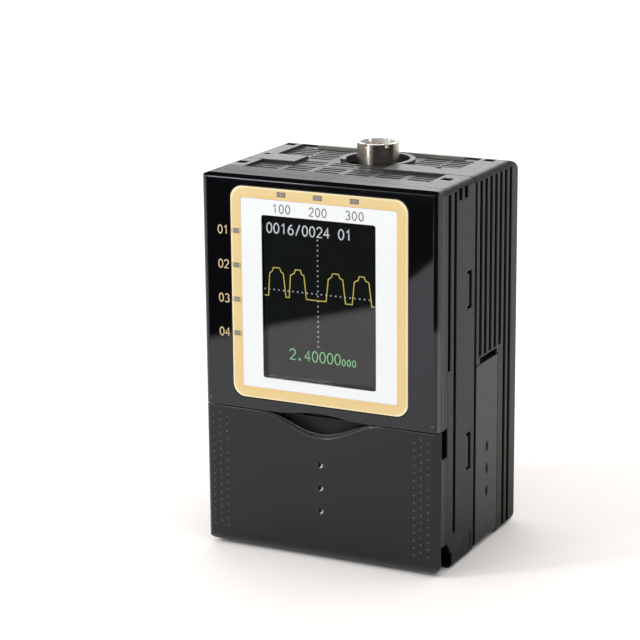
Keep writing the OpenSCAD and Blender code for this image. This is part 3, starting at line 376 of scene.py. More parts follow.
def moulded(name, color, light, rough, grain=GRAIN[0], strength=0.2):
    """Spark-eroded moulding: fine grain in the bump, faint clouding of colour and gloss."""
    f = Finish(name, color, rough)
    f.to("Base Color", f.clouded(f.noise(*CLOUDS), color, light))
    f.to("Roughness", f.span(f.noise(*GLOSS_CLOUDS), rough - 0.05, rough + 0.06))
    f.relief(f.noise(grain, *GRAIN[1:]), strength, GRAIN_DEPTH, EDGE_R)
    return f.material


# Housing, boxes in millimetres as two corners: the grilles sunk into the top face, the bars at its
# back, both painted lighter as light on the top, and the two rooms inside the case, painted nearly
# black as shade
GRILLES = (-25.0, -15.0, 88.2), (24.0, 16.9, 89.8)
BACK_BARS = (-21.5, 15.5, 89.0), (21.5, 16.95, 90.2)
SHADED_ROOMS = (((-29.6, -21.4, 1.0), (29.6, 15.8, 88.0)), ((-29.6, 15.0, 5.4), (29.6, 20.3, 83.6)))
# Housing, blends in millimetres from start to end: to the painted warm reflection at the back, the
# foot's painted shade and its gloss, the top face with its painted light, and the strip at its
# front that is dull, with less of that light, on the left and in the middle
WARM_BACK_REFLECTION, FOOT_SHADE, FOOT_GLOSS = (17.6, 18.2), (0.0, 22.0), (0.0, 26.0)
TOP_FACE, DULL_STRIP, DULL_PART = (89.7, 89.9), (-15.0, -13.5), (2.0, 19.0)
# Painted highlight line behind the bezel: its depth, its fading edge, and how far out it starts
HIGHLIGHT_LINE_Y, HIGHLIGHT_LINE_EDGE, HIGHLIGHT_LINE_X = FRAME_Y + 0.85, (0.35, 0.75), 29.0


def housing(name, color, gloss):
    """Satin housing: the eroded grain, edges painted pale as a painted highlight and as wear from
    handling, a painted highlight line behind the bezel, a painted warm reflection on the back
    corner, and painted shade on a dull foot. On top the flat parts get painted light, less in a
    dull strip at the front, the sunk grilles are painted grey and the bars at the back painted pale
    as highlights.
    The inside is painted nearly black as shade."""
    f = Finish(name, color, 0.42, specular=gloss)
    across, depth, height = f.axis(0), f.axis(1), f.axis(2)
    tone = f.clouded(f.noise(*CLOUDS), color, shade(color, 1.2))
    # Painted warm reflection on the sides near the rounded back corner.
    sideways = f.math("ABSOLUTE", f.facing()["X"])
    back = f.math("MULTIPLY", sideways, f.span(depth, 0.0, 1.0, *WARM_BACK_REFLECTION))
    tone = f.mix(back, tone, (0.026, 0.020, 0.007))
    # Painted highlight line on the sides just behind the bezel.
    off_highlight_line = f.math("ABSOLUTE", f.math("SUBTRACT", depth, HIGHLIGHT_LINE_Y))
    outside = f.math("GREATER_THAN", f.math("ABSOLUTE", across), HIGHLIGHT_LINE_X)
    line = f.math("MULTIPLY", f.span(off_highlight_line, 0.6, 0.0, *HIGHLIGHT_LINE_EDGE), outside)
    tone = f.mix(line, tone, (0.060, 0.056, 0.042))
    # Painted shade: darker towards the foot.
    tone = f.mix(f.span(height, 0.4, 0.0, *FOOT_SHADE), tone, (0.002, 0.002, 0.002))
    # Painted light on the top face: the sunk grilles grey, the flat parts paler but less in the
    # dull front strip, and the bars at the back pale as a highlight.
    grilles = f.math("MULTIPLY", f.inside(*GRILLES), 0.8)
    tone = f.mix(grilles, tone, (0.045, 0.045, 0.048))
    top = f.span(height, 0.0, 0.9, *TOP_FACE)
    strip, part = f.span(depth, 1.0, 0.0, *DULL_STRIP), f.span(across, 1.0, 0.0, *DULL_PART)
    dull = f.math("MULTIPLY", strip, part)
    painted_top_light = f.math("MULTIPLY", top, f.math("MULTIPLY_ADD", dull, -0.45, 1.0))
    tone = f.mix(painted_top_light, tone, (0.078, 0.077, 0.072))
    bars = f.math("MULTIPLY", f.inside(*BACK_BARS), 0.85)
    tone = f.mix(bars, tone, (0.20, 0.20, 0.18))
    # Edges painted paler: painted highlight, and wear from handling.
    tone = f.mix(f.lit_and_worn_edges(0.0004, 0.5), tone, (0.080, 0.078, 0.070))
    # Painted shade: the inside of the case nearly black.
    within = f.math("MAXIMUM", *[f.inside(*room) for room in SHADED_ROOMS])
    f.to("Base Color", f.mix(within, tone, (0.001, 0.001, 0.001)))
    f.to("Roughness", f.math("MAXIMUM", f.span(f.noise(*GLOSS_CLOUDS), 0.38, 0.46), within))
    shine = f.math("MULTIPLY_ADD", top, f.math("MULTIPLY_ADD", dull, -1.25, 0.45), 1.0)
    foot = f.span(height, 0.35 * gloss, gloss, *FOOT_GLOSS)
    f.to("Specular IOR Level", f.math("MULTIPLY", foot, shine))
    f.relief(f.noise(*GRAIN), 0.12, GRAIN_DEPTH, EDGE_R)
    return f.material


# Gloss mouldings: rounding of their edges in metres; parts of the surface's direction over which
# the cheeks turn satin, the top edge turns satin, the painted highlight of the top edge ends, and a
# wall of the dimples gets a painted glint; then, in millimetres, the side rims with a painted
# highlight and the box round the dimples
GLOSS_EDGE_R = 0.00035
CHEEK_TURN, CROWN_TURN = (0.86, 0.97), (0.06, 0.25)
CROWN_SHEEN_END, GLINT_TURN = (0.06, 0.3), (0.15, 0.5)
SIDE_RIM_SHEEN = (29.35, 29.55)
DIMPLES = (-0.8, FLAP_Y + 0.05, 8.0), (0.8, FLAP_Y + 0.9, 28.0)


def polished(name, color, rough=0.03, gloss=0.5, edge=0.10, crown=False, pits=False):
    """High-gloss moulding: faint orange peel, haze from handling that dulls the gloss a little, a
    painted highlight along the edges, and satin cheeks at the sides. With crown the top edge is
    satin as well, with less painted highlight, and both side rims get a painted highlight; with
    pits one wall of the grip dimples gets a painted glint."""
    f = Finish(name, color, rough)
    f.put("Specular Tint", (0.87, 0.91, 1.0, 1))
    facing = f.facing(GLOSS_EDGE_R)
    satin = f.span(f.math("ABSOLUTE", facing["X"]), 0.0, 1.0, *CHEEK_TURN)
    edge_sheen = f.lit_and_worn_edges(0.0003, 0.6)
    if crown:
        satin = f.math("MAXIMUM", satin, f.span(facing["Z"], 0.0, 1.25, *CROWN_TURN))
        edge_sheen = f.math("MULTIPLY", edge_sheen, f.span(facing["Z"], 1.0, 0.0, *CROWN_SHEEN_END))
    f.to("Specular IOR Level", f.math("MULTIPLY_ADD", satin, -0.8 * gloss, gloss))
    haze = f.span(f.noise(60, 5, 0.65), rough, rough + 0.035)
    f.to("Roughness", f.math("MULTIPLY_ADD", satin, 0.3, haze))
    tone = f.clouded(f.noise(40, 3), color, shade(color, 1.25))
    # Edges painted paler as a painted highlight.
    tone = f.mix(edge_sheen, tone, (edge, edge, 1.05 * edge))
    if crown:
        # Side rims painted paler as a painted highlight.
        rims = f.span(f.math("ABSOLUTE", f.axis(0)), 0.0, 1.0, *SIDE_RIM_SHEEN)
        tone = f.mix(rims, tone, (0.070, 0.069, 0.065))
    if pits:
        # Painted glint on one wall of each grip dimple.
        wall = f.math("SUBTRACT", f.math("MULTIPLY", facing["Z"], 0.5), facing["X"])
        dimple_glint = f.math("MULTIPLY", f.inside(*DIMPLES), f.span(wall, 0.0, 0.9, *GLINT_TURN))
        tone = f.mix(dimple_glint, tone, (0.62, 0.63, 0.66))
    f.to("Base Color", tone)
    f.relief(f.noise(220, 2), 0.015, 0.0002, GLOSS_EDGE_R)
    return f.material


# Distances from the axis of the barrel between which the finish of its bore ends, in millimetres
BORE_WALL = (4.3, 4.4)


def turned_barrel():
    """Turned and plated barrel: the highlight is drawn out along the barrel, across the tool marks,
    and the bore is matt and pale."""
    bright, dull = (0.56, 0.525, 0.46), (0.46, 0.425, 0.36)
    f = Finish("turned nickel", bright, 0.25, metal=1.0)
    marks = f.noise(300, 2, 0.5, f.stretched((0.2, 0.2, 12)))
    offset = f.axis(0), f.math("SUBTRACT", f.axis(1), BARREL_Y)
    radius = f.math("SQRT", f.math("ADD", *[f.math("MULTIPLY", v, v) for v in offset]))
    bore = f.span(radius, 1.0, 0.0, *BORE_WALL)
    f.to("Roughness", f.math("MULTIPLY_ADD", bore, 0.25, f.span(marks, 0.25, 0.30)))
    f.to("Base Color", f.mix(bore, f.clouded(marks, bright, dull), (0.74, 0.73, 0.70)))
    f.to("Metallic", f.math("MULTIPLY_ADD", bore, -0.6, 1.0))
    f.put("Anisotropic", 0.78)
    f.put("Anisotropic Rotation", 0.25)
    around = f.node("ShaderNodeTangent", direction_type="RADIAL", axis="Z")
    f.to("Tangent", around.outputs["Tangent"])
    f.relief(marks, 0.03, GRAIN_DEPTH, 0.00012)
    return f.material


def dark_cell():
    """Display cell behind its window: black with a trace of backlight showing through."""
    f = Finish("dark display cell", (0.003, 0.003, 0.003), 0.6, specular=0.0)
    f.to("Emission Color", f.clouded(f.noise(60, 2), (0.75, 0.95, 0.92), (0.95, 1.0, 1.0)))
    f.put("Emission Strength", 0.0085)
    return f.material


def plated(name, color, rough, along=(1, 1, 1), strength=0.08):
    """Plated or turned metal: fine lines along the tool path vary gloss and relief."""
    f = Finish(name, color, rough, metal=1.0)
    lines = f.noise(900, 3, 0.6, f.stretched(along))
    f.to("Roughness", f.span(lines, rough - 0.06, rough + 0.1))
    f.to("Base Color", f.clouded(f.noise(250, 3), color, shade(color, 0.82)))
    f.relief(lines, strength, GRAIN_DEPTH, 0.00015)
    return f.material


def glowing(name, color, power, dim):
    """Lit display pixels: the colour varies a little from place to place."""
    f = Finish(name, shade(color, 0.2), 0.5)
    f.to("Emission Color", f.clouded(f.noise(1500, 1), color, dim))
    f.put("Emission Strength", power)
    return f.material


def printed(name, color, rough=0.4, thin=0.9):
    """Screen print: slight unevenness of ink, down to thin times its colour."""
    f = Finish(name, color, rough)
    f.to("Base Color", f.clouded(f.noise(1800, 3), color, shade(color, thin)))
    f.relief(f.noise(4000, 2), 0.1, 0.00001)
    return f.material


# Radius of the ring's outer corners, in millimetres
RING_CORNER = 3.6


def gold_band():
    """Gold film of the ring, from the distance to its rounded outer edge: a pale bead along both
    edges of the band, a deeper tone beside the inner one, and fine metallic grain."""
    f = Finish("gold film", (0.84, 0.64, 0.28), 0.36)
    half, middle = (RING_HIGH - RING_LOW) / 2, (RING_HIGH + RING_LOW) / 2
    band = float(RING_HIGH[0] - FIELD_RIGHT)
    reach = []
    for k in (0, 2):
        off = f.math("ABSOLUTE", f.math("SUBTRACT", f.axis(k), float(middle[k])))
        past = f.math("MAXIMUM", f.math("SUBTRACT", off, float(half[k]) - RING_CORNER), 0.0)
        reach.append(f.math("MULTIPLY", past, past))
    depth = f.math("SUBTRACT", RING_CORNER, f.math("SQRT", f.math("ADD", *reach)))
    speck = f.span(f.noise(2500, 2), 0.0, 0.3)
    tone = f.mix(speck, (0.605, 0.456, 0.20), (0.662, 0.523, 0.268))
    deep = f.span(depth, 0.0, 0.75, band - 1.0, band - 0.3)
    tone = f.mix(deep, tone, (0.64, 0.415, 0.16))
    outer_bead = f.span(depth, 1.0, 0.0, 0.1, 0.45)
    tone = f.mix(outer_bead, tone, (0.78, 0.67, 0.42))
    inner_bead = f.span(depth, 0.0, 0.7, band - 0.22, band - 0.08)
    f.to("Base Color", f.mix(inner_bead, tone, (0.78, 0.67, 0.44)))
    f.to("Roughness", f.span(f.noise(900, 3), 0.3, 0.44))
    f.relief(f.noise(6000, 2), 0.1, 0.00001, 0.0002)
    return f.material


def circuit_board(name, color=(0.012, 0.10, 0.04), track=(0.03, 0.19, 0.08)):
    """Solder mask with tracks: a brick pattern in the upright plane of the boards shows the copper
    under it."""
    f = Finish(name, color, 0.32)
    brick = f.node("ShaderNodeTexBrick", offset=0.37, squash=0.6)
    turn = f.node("ShaderNodeMapping")
    turn.inputs["Rotation"].default_value = (math.pi / 2, 0, 0)
    f.link(f.coords, turn.inputs["Vector"])
    f.link(turn.outputs["Vector"], brick.inputs["Vector"])
    brick.inputs["Scale"].default_value = 240
    brick.inputs["Mortar Size"].default_value = 0.035
    f.to("Base Color", f.mix(brick.outputs["Fac"], color, track))
    f.relief(brick.outputs["Fac"], 0.2, 0.00003)
    return f.material


def lens():
    """Clear display window: coated, so it mirrors less than bare glass, uneven in its faint tint,
    and blackened on its side walls."""
    f = Finish("display lens", (0.93, 0.94, 0.95), 0.0)
    f.put("IOR", 1.37)
    face = f.math("GREATER_THAN", f.math("ABSOLUTE", f.facing()["Y"]), 0.8)
    f.to("Transmission Weight", face)
    tint = f.clouded(f.noise(70, 4), (0.95, 0.96, 0.97), (0.90, 0.92, 0.94))
    f.to("Base Color", f.mix(face, (0.002, 0.002, 0.002), tint))
    return f.material


def make_finishes(colours):
    """Every finish of the controller, by its name in this file."""
    body, front = tuple(colours.housing), tuple(colours.front)
    return {
        "satin_black": housing("satin black moulding", body, 0.18),
        "cover_black": housing("satin cover moulding", shade(body, 1.6), 0.34),
        "gloss_black": polished("gloss black moulding", front, 0.03, 0.56, crown=True),
        "flap_black": polished("gloss flap moulding", front, 0.045, 0.42, 0.34, pits=True),
        "gold_film": gold_band(),
        "white_film": printed("white film", (0.672, 0.697, 0.716), 0.34, 0.97),
        "display_lens": lens(),
        "light_guide": moulded("grey light guide", (0.16, 0.15, 0.145), (0.22, 0.21, 0.20),
                               0.25, 2500, 0.05),
        "key_grey": moulded("grey key moulding", (0.20, 0.20, 0.21), (0.26, 0.26, 0.27), 0.40),
        "bright_steel": plated("bright steel", (0.62, 0.61, 0.59), 0.26, (1, 6, 1)),
        "nickel": turned_barrel(),
        "contact_gold": plated("contact gold", (0.82, 0.68, 0.42), 0.22),
        "spacer_brass": plated("spacer brass", (0.72, 0.54, 0.24), 0.30, (1, 8, 1)),
        "board_green": circuit_board("green circuit board"),
        "heat_sink": plated("anodised heat sink", (0.30, 0.30, 0.31), 0.45, (1, 1, 7), 0.2),
        "white_plastic": moulded("white plastic", (0.78, 0.78, 0.76), (0.84, 0.84, 0.82), 0.5),
        "connector_plastic": moulded("black connector plastic", (0.018, 0.018, 0.018),
                                     (0.03, 0.03, 0.03), 0.36),
        "cream_plastic": moulded("cream connector plastic", (0.62, 0.58, 0.48),
                                 (0.70, 0.66, 0.56), 0.42),
        "capacitor_sleeve": polished("capacitor sleeve", (0.02, 0.025, 0.06), 0.2),
        "display_cell": dark_cell(),
        "trace_yellow": glowing("trace yellow", tuple(colours.trace), 0.72, (0.62, 0.52, 0.06)),
        "pixel_white": glowing("white pixels", (0.82, 0.84, 0.86), 0.75, (0.6, 0.62, 0.64)),
        "dot_white": glowing("white dots", (0.70, 0.71, 0.74), 0.6, (0.5, 0.5, 0.53)),
        "reading_green": glowing("reading green", tuple(colours.reading), 0.75,
                                 (0.20, 0.50, 0.22)),
        "label_grey": printed("grey label ink", (0.10, 0.09, 0.10)),
        "label_tan": printed("tan label ink", (0.55, 0.42, 0.22)),
        "split_grey": printed("warm grey split", (0.27, 0.23, 0.17)),
        "mark_white": printed("white key mark", (0.7, 0.7, 0.7)),
        # The bumps are painted pale grey as their highlight.
        "bump_highlit": polished("gloss black bumps", (0.10, 0.10, 0.11), 0.25),
    }


FINISH = {}


# ---------------------------------------------------------------- settings
class ControllerColours(bpy.types.PropertyGroup):
    housing: FloatVectorProperty(
        name="Housing", description="Colour of the satin mouldings", subtype="COLOR",
        size=3, min=0, max=1, default=(0.010, 0.0097, 0.0084))
    front: FloatVectorProperty(
        name="Front", description="Colour of the gloss bezel and flap", subtype="COLOR",
        size=3, min=0, max=1, default=(0.0022, 0.0022, 0.0028))
    trace: FloatVectorProperty(
        name="Trace", description="Colour of the profile line", subtype="COLOR",
        size=3, min=0, max=1, default=(0.78, 0.66, 0.10))
    reading: FloatVectorProperty(
        name="Reading", description="Colour of the reading", subtype="COLOR",
        size=3, min=0, max=1, default=(0.30, 0.68, 0.32))


class ControllerDisplay(bpy.types.PropertyGroup):
    reading: StringProperty(
        name="Reading", description="Figures at the foot of the display", default="2.40000")
    tail: StringProperty(
        name="Tail", description="Small figures after the reading", default="000")
    header: StringProperty(
        name="Header", description="Figures along the top of the display", default="0016/0024 01")
    line: FloatProperty(
        name="Line width", description="Width of the profile line in millimetres",
        default=0.23, min=0.1, max=0.6)
    dot: FloatProperty(
        name="Dot", description="Side of the square dots of the cross in millimetres",
        default=0.32, min=0.1, max=0.6)


class ControllerStage(bpy.types.PropertyGroup):
    horizon: FloatProperty(
        name="Horizon light", description="Strength of the surrounding light at the horizon",
        default=0.60, min=0, max=3)
    overhead: FloatProperty(
        name="Overhead light",
        description="Strength that the surrounding light gains straight above",
        default=1.10, min=0, max=3)
    softbox: FloatProperty(
        name="Softbox", description="Power of the softbox at the front left", subtype="POWER",
        default=5.0, min=0, max=100)
    backbox: FloatProperty(
        name="Back softbox",
        description="Power of the low softbox behind, which lights the top face",
        subtype="POWER", default=8.0, min=0, max=100)
    strip: FloatProperty(
        name="Strip light",
        description="Power of the low strip light that draws the line down the barrel",
        subtype="POWER", default=1.4, min=0, max=20)
    flag: BoolProperty(
        name="Dark card",
        description="Card and screen that keep parts of the object dark in the reflections",
        default=True)


# ---------------------------------------------------------------- stage
CAMERA_RIGHT = Vector((0.89448132, 0.44702239, -0.00861142))
CAMERA_UP = Vector((-0.10544414, 0.22963007, 0.96754926))
CAMERA_AHEAD = Vector((-0.43449362, 0.86454671, -0.2525357))
CAMERA_PLACE = Vector((0.2298224, -0.4816992, 0.1914724))
CAMERA_LENS = 130.5787
# Corners of the floor, and the point that every softbox faces, in metres
FLOOR = ((-6, -6, 0), (6, -6, 0), (6, 6, 0), (-6, 6, 0))
LIT_POINT = Vector((0, 0, 0.04))
# Softboxes: name, the setting of its power, place, width and height in metres
SOFTBOXES = (("softbox front left", "softbox", (-0.86, -0.75, 0.86), 0.22, 0.22),
             ("softbox behind", "backbox", (-0.8, 1.5, 0.55), 1.5, 0.7),
             ("strip light", "strip", (-0.39, -0.70, 0.15), 0.10, 0.30))
# Dark card, in millimetres: distance ahead of the front and direction across; its lower edge as
# (across, height) points, with half the width over which each of the two cuts fades; its top
# corners, and how far the sheet reaches below the edge
CARD_AHEAD, CARD_ACROSS = 150.0, (0.8935, -0.449)
CARD_EDGE, CARD_FADES = ((-60.0, 8.9), (16.9, 22.4), (60.0, 58.6)), (1.2, 0.3)
CARD_TOP, CARD_MARGIN = ((60.0, 54.8), (-60.0, 66.6)), 3
# Dark screen: middle of its arc, radius and height in millimetres, the angles that it spans, and
# the number of upright edges of its sheets
SCREEN_MIDDLE, SCREEN_R, SCREEN_TOP = (30.0, -25.0), 220.0, 300.0
SCREEN_SPAN, SCREEN_EDGES = (-104.0, 38.0), 13


def stage_card(name, points, material):
    mesh = bpy.data.meshes.new(name)
    mesh.from_pydata([Vector(p) for p in points], [], [list(range(len(points)))])
    mesh.materials.append(material)
    card = bpy.data.objects.new(name, mesh)
    bpy.context.scene.collection.objects.link(card)
    return card


class CONTROLLER_OT_stage(bpy.types.Operator):
    """Floor, surrounding light, softboxes, dark card and screen, and the camera"""

    bl_idname = "controller.stage"
    bl_label = "Stage"

    def execute(self, context):
        settings = context.scene.controller_stage
        floor = Finish("pale floor", (0.885, 0.862, 0.845), 0.75, specular=0.1)
        floor.to("Roughness", floor.span(floor.noise(6, 3), 0.7, 0.8))
        stage_card("floor", FLOOR, floor.material)
        self.sky(context, settings)
        for name, power, place, width, height in SOFTBOXES:
            self.softbox(name, place, width, height, getattr(settings, power))
        if settings.flag:
            self.dark_card()
            self.dark_screen()
        camera = bpy.data.objects.new("camera", bpy.data.cameras.new("camera"))
        turn = Matrix((CAMERA_RIGHT, CAMERA_UP, -CAMERA_AHEAD)).transposed().to_4x4()
        camera.matrix_world = Matrix.Translation(CAMERA_PLACE) @ turn
        camera.data.lens = CAMERA_LENS
        camera.data.sensor_width = 36
        camera.data.clip_start, camera.data.clip_end = 0.05, 30
        context.scene.collection.objects.link(camera)
        context.scene.camera = camera
        context.scene.view_settings.view_transform = "Standard"
        return {"FINISHED"}

    def sky(self, context, settings):
        """Even light that grows with the square of the height of its direction."""
        world = bpy.data.worlds.new("even light")
        world.use_nodes = True
        tree = world.node_tree
        back = tree.nodes["Background"]
        back.inputs["Color"].default_value = (1.0, 0.997, 0.99, 1)
        way = tree.nodes.new("ShaderNodeTexCoord")
        split = tree.nodes.new("ShaderNodeSeparateXYZ")
        square = tree.nodes.new("ShaderNodeMath")
        square.operation = "MULTIPLY"
        gain = tree.nodes.new("ShaderNodeMath")
        gain.operation = "MULTIPLY_ADD"
        gain.inputs[1].default_value = settings.overhead
        gain.inputs[2].default_value = settings.horizon
        tree.links.new(way.outputs["Generated"], split.inputs["Vector"])
        tree.links.new(split.outputs["Z"], square.inputs[0])
        tree.links.new(split.outputs["Z"], square.inputs[1])
        tree.links.new(square.outputs["Value"], gain.inputs[0])
        tree.links.new(gain.outputs["Value"], back.inputs["Strength"])
        context.scene.world = world

    def softbox(self, name, place, width, height, power):
        light = bpy.data.lights.new(name, "AREA")
        light.shape, light.size, light.size_y, light.energy = "RECTANGLE", width, height, power
        lamp = bpy.data.objects.new(name, light)
        lamp.location = place
        lamp.visible_camera = False
        lamp.rotation_euler = (LIT_POINT - Vector(place)).to_track_quat("-Z", "Y").to_euler()
        bpy.context.scene.collection.objects.link(lamp)

    def dark_card(self):
        """A black card hung ahead of the front, seen by reflections only; its lower edge is two
        straight cuts, the left one softer."""
        across = np.array([*CARD_ACROSS, 0.0])
        ahead = np.array([CARD_ACROSS[1], -CARD_ACROSS[0], 0.0])
        foot = np.array([0.0, FRONT_Y, 0.0]) + CARD_AHEAD * ahead
        card = Finish("dark card", (0.001, 0.001, 0.001), 0.9, specular=0.0)
        along = card.math("MULTIPLY_ADD", card.axis(1), CARD_ACROSS[1], -float(foot @ across))
        along = card.math("ADD", card.math("MULTIPLY", card.axis(0), CARD_ACROSS[0]), along)
        height = card.axis(2)
        cuts = []
        for (u0, z0), (u1, z1), fade in zip(CARD_EDGE[:-1], CARD_EDGE[1:], CARD_FADES):
            slope = (z1 - z0) / (u1 - u0)
            line = card.math("MULTIPLY_ADD", along, slope, z0 - u0 * slope)
            cuts.append(card.span(card.math("SUBTRACT", height, line), 0.0, 1.0, -fade, fade))
        card.to("Alpha", card.math("MULTIPLY", *cuts))
        low = CARD_EDGE[0][1] - CARD_MARGIN
        corners = ((CARD_EDGE[0][0], low), (CARD_EDGE[-1][0], low), *CARD_TOP)
        points = [tuple((foot + u * across + (0, 0, z)) * MM) for u, z in corners]
        self.only_mirrored(stage_card("dark card", points, card.material))

    def dark_screen(self):
        """A black screen bent round the right front corner, seen by reflections only, so that the
        cheek of the front and the barrel stay dark on that side."""
        cloth = Finish("dark screen", (0.004, 0.003, 0.002), 0.9, specular=0.0)
        around, top = np.radians(np.linspace(*SCREEN_SPAN, SCREEN_EDGES)), SCREEN_TOP * MM
        foot = (np.stack([np.cos(around), np.sin(around)], 1) * SCREEN_R + SCREEN_MIDDLE) * MM
        for k, ((x0, y0), (x1, y1)) in enumerate(zip(foot[:-1].tolist(), foot[1:].tolist())):
            corners = [(x0, y0, 0), (x1, y1, 0), (x1, y1, top), (x0, y0, top)]
            self.only_mirrored(stage_card(f"dark screen {k + 1}", corners, cloth.material))

    def only_mirrored(self, sheet):
        sheet.visible_camera = sheet.visible_diffuse = sheet.visible_shadow = False


# ---------------------------------------------------------------- pieces
class CONTROLLER_OT_finishes(bpy.types.Operator):
    """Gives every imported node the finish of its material"""

    bl_idname = "controller.finishes"
    bl_label = "Finishes"

    def execute(self, context):
        FINISH.update(make_finishes(context.scene.controller_colours))
        slots = {s["node"]: s["material_slot"] for s in frame["record"]["subparts"]}
        own = {"key_flap": "flap_black", "bus_cover_right": "cover_black",
               "bus_cover_left": "cover_black"}
        for name, node in NODES.items():
            node.data.materials.clear()
            node.data.materials.append(FINISH[own.get(name, slots[name])])
        return {"FINISHED"}


# Profile line, in millimetres: heights of its base, shoulders, step and top, its two ends, then
# each hump's eight places across: foot, shoulder, step, top, top, step, shoulder and foot
BASE, SHOULDER, STEP, TOP, LAST_SHOULDER = 62.2, 67.5, 68.0, 68.9, 67.7
LINE_ENDS = (-14.4, 13.5)
HUMPS = ((-13.45, -13.1, -12.45, -12.1, -10.5, -10.15, -9.6, -8.95),
         (-8.1, -7.75, -6.8, -6.5, -5.15, -4.95, -4.3, -3.7),
         (1.3, 1.9, 2.7, 3.0, 4.5, 4.75, 5.55, 6.2),
         (7.9, 8.45, 9.4, 9.7, 10.9, 11.25, 12.1, 12.8))
# Dotted cross, in millimetres: its middle, then start, end and pitch of the dots down and across
CROSS_X, CROSS_Z = -0.77, 63.7
DOTS_DOWN, DOTS_ACROSS = (51.3, 76.4, 1.19), (-14.4, 13.3, 1.21)
# Figures on the display: left end, foot, height and stroke in millimetres, and pitch in heights
HEADER, READING, TAIL = ((-13.8, 76.9, 2.5, 0.31, 0.73), (-8.2, 47.5, 2.7, 0.27, 0.71),
                         (5.2, 47.5, 1.6, 0.24, 0.82))
# Lit pixels, in millimetres: their thickness, and how far the dots stand ahead of the line
LIT_T, DOTS_AHEAD = 0.016, 0.003


class CONTROLLER_OT_display_picture(bpy.types.Operator):
    """Lit picture behind the window: profile line, dotted cross, header and reading"""

    bl_idname = "controller.display_picture"
    bl_label = "Display picture"

    def execute(self, context):
        settings = context.scene.controller_display
        y = (WINDOW_BACK + CELL_FRONT) / 2 - LIT_T / 2
        path = [(LINE_ENDS[0], BASE)]
        for hump in HUMPS:
            path += zip(hump, (BASE, SHOULDER, STEP, TOP, TOP, STEP, LAST_SHOULDER, BASE))
        path.append((LINE_ENDS[1], BASE))
        line = Parts()
        line.add(*stroke(path, settings.line, LIT_T, y))
        line.make("profile_line", FINISH["trace_yellow"], "case", "display_cell")
        dots = Parts()
        half, front = settings.dot / 2, y - DOTS_AHEAD
        down = [(CROSS_X, z) for z in np.arange(*DOTS_DOWN)]
        across = [(x, CROSS_Z) for x in np.arange(*DOTS_ACROSS)]
        for x, z in down + across:
            block(dots, (x - half, front, z - half), (x + half, front + LIT_T, z + half))
        dots.make("dotted_cross", FINISH["dot_white"], "case", "display_cell")
        header = Parts()
        figures(header, settings.header, *HEADER, y, LIT_T)
        header.make("header_figures", FINISH["pixel_white"], "case", "display_cell")
        reading = Parts()
        figures(reading, settings.reading, *READING, y, LIT_T)
        figures(reading, settings.tail, *TAIL, y, LIT_T)
        reading.make("reading_figures", FINISH["reading_green"], "case", "display_cell")
        return {"FINISHED"}


# Front numbers, in millimetres: height and stroke of the figures; the columns and the foot of the
# numbers over the display; the middle of those beside it, the first one's height and their pitch
LABEL_HEIGHT, LABEL_STROKE = 2.1, 0.27
STATUS_X, STATUS_FOOT = (-9.2, 0, 9.2), 81.95
CHANNEL_X, CHANNEL_TOP, CHANNEL_STEP = -24.4, 77.0, 8.1
# Half widths and half heights of the split of a window and of its gold ends, and their inset
SPLIT_HALF, END_HALF, END_INSET = (0.09, 0.45), (0.13, 0.75), 0.12


class CONTROLLER_OT_front_numbers(bpy.types.Operator):
    """Plain numbers beside the indicator windows, and the split of each window"""

    bl_idname = "controller.front_numbers"
    bl_label = "Front numbers"

    def execute(self, context):
        y = FRONT_Y - PRINT_T / 2
        status, channel, splits, ends = Parts(), Parts(), Parts(), Parts()
        low, high = node_box("status_light_guide")
        lamp_z = (low[2] + high[2]) / 2
        for k, x in enumerate(STATUS_X):
            figures(status, str(100 * (k + 1)), x, STATUS_FOOT, LABEL_HEIGHT, LABEL_STROKE, 0.78, y,
                    align=0.5)
            self.bar(splits, x, lamp_z, y, *SPLIT_HALF)
        low, high = node_box("channel_light_guide")
        lamp_x = (low[0] + high[0]) / 2
        for k in range(4):
            z = CHANNEL_TOP - CHANNEL_STEP * k
            figures(channel, f"0{k + 1}", CHANNEL_X, z - LABEL_HEIGHT / 2, LABEL_HEIGHT,
                    LABEL_STROKE, 0.72, y, align=0.5)
            self.bar(splits, lamp_x, z, y, *SPLIT_HALF)
            for x in (low[0] + END_INSET, high[0] - END_INSET):
                self.bar(ends, x, z, y, *END_HALF)
        status.make("status_numbers", FINISH["label_grey"], "case", "white_film")
        channel.make("channel_numbers", FINISH["label_tan"], "case", "gold_film")
        splits.make("indicator_splits", FINISH["split_grey"], "case", "gold_film")
        ends.make("indicator_ends", FINISH["gold_film"], "case", "gold_film")
        return {"FINISHED"}

    def bar(self, parts, x, z, y, wide, high):
        """Printed bar about a point, from half its width and half its height."""
        block(parts, (x - wide, y, z - high), (x + wide, y + PRINT_T, z + high))


# Bumps of the flap, in millimetres: columns at its sides, start, end and pitch of the rows, radius
# and height; then those of the two on the bezel, with their distance from the middle and height up
BUMP_COLUMNS = ((-27.9, -26.1, -24.3), (23.9, 25.6, 27.3))
BUMP_ROWS = (5.0, 33.4, 1.8)
BUMP_SIZE = (0.25, 0.06)
PAIR_X, PAIR_Z, PAIR_SIZE = 28.4, 36.3, (0.34, 0.07)


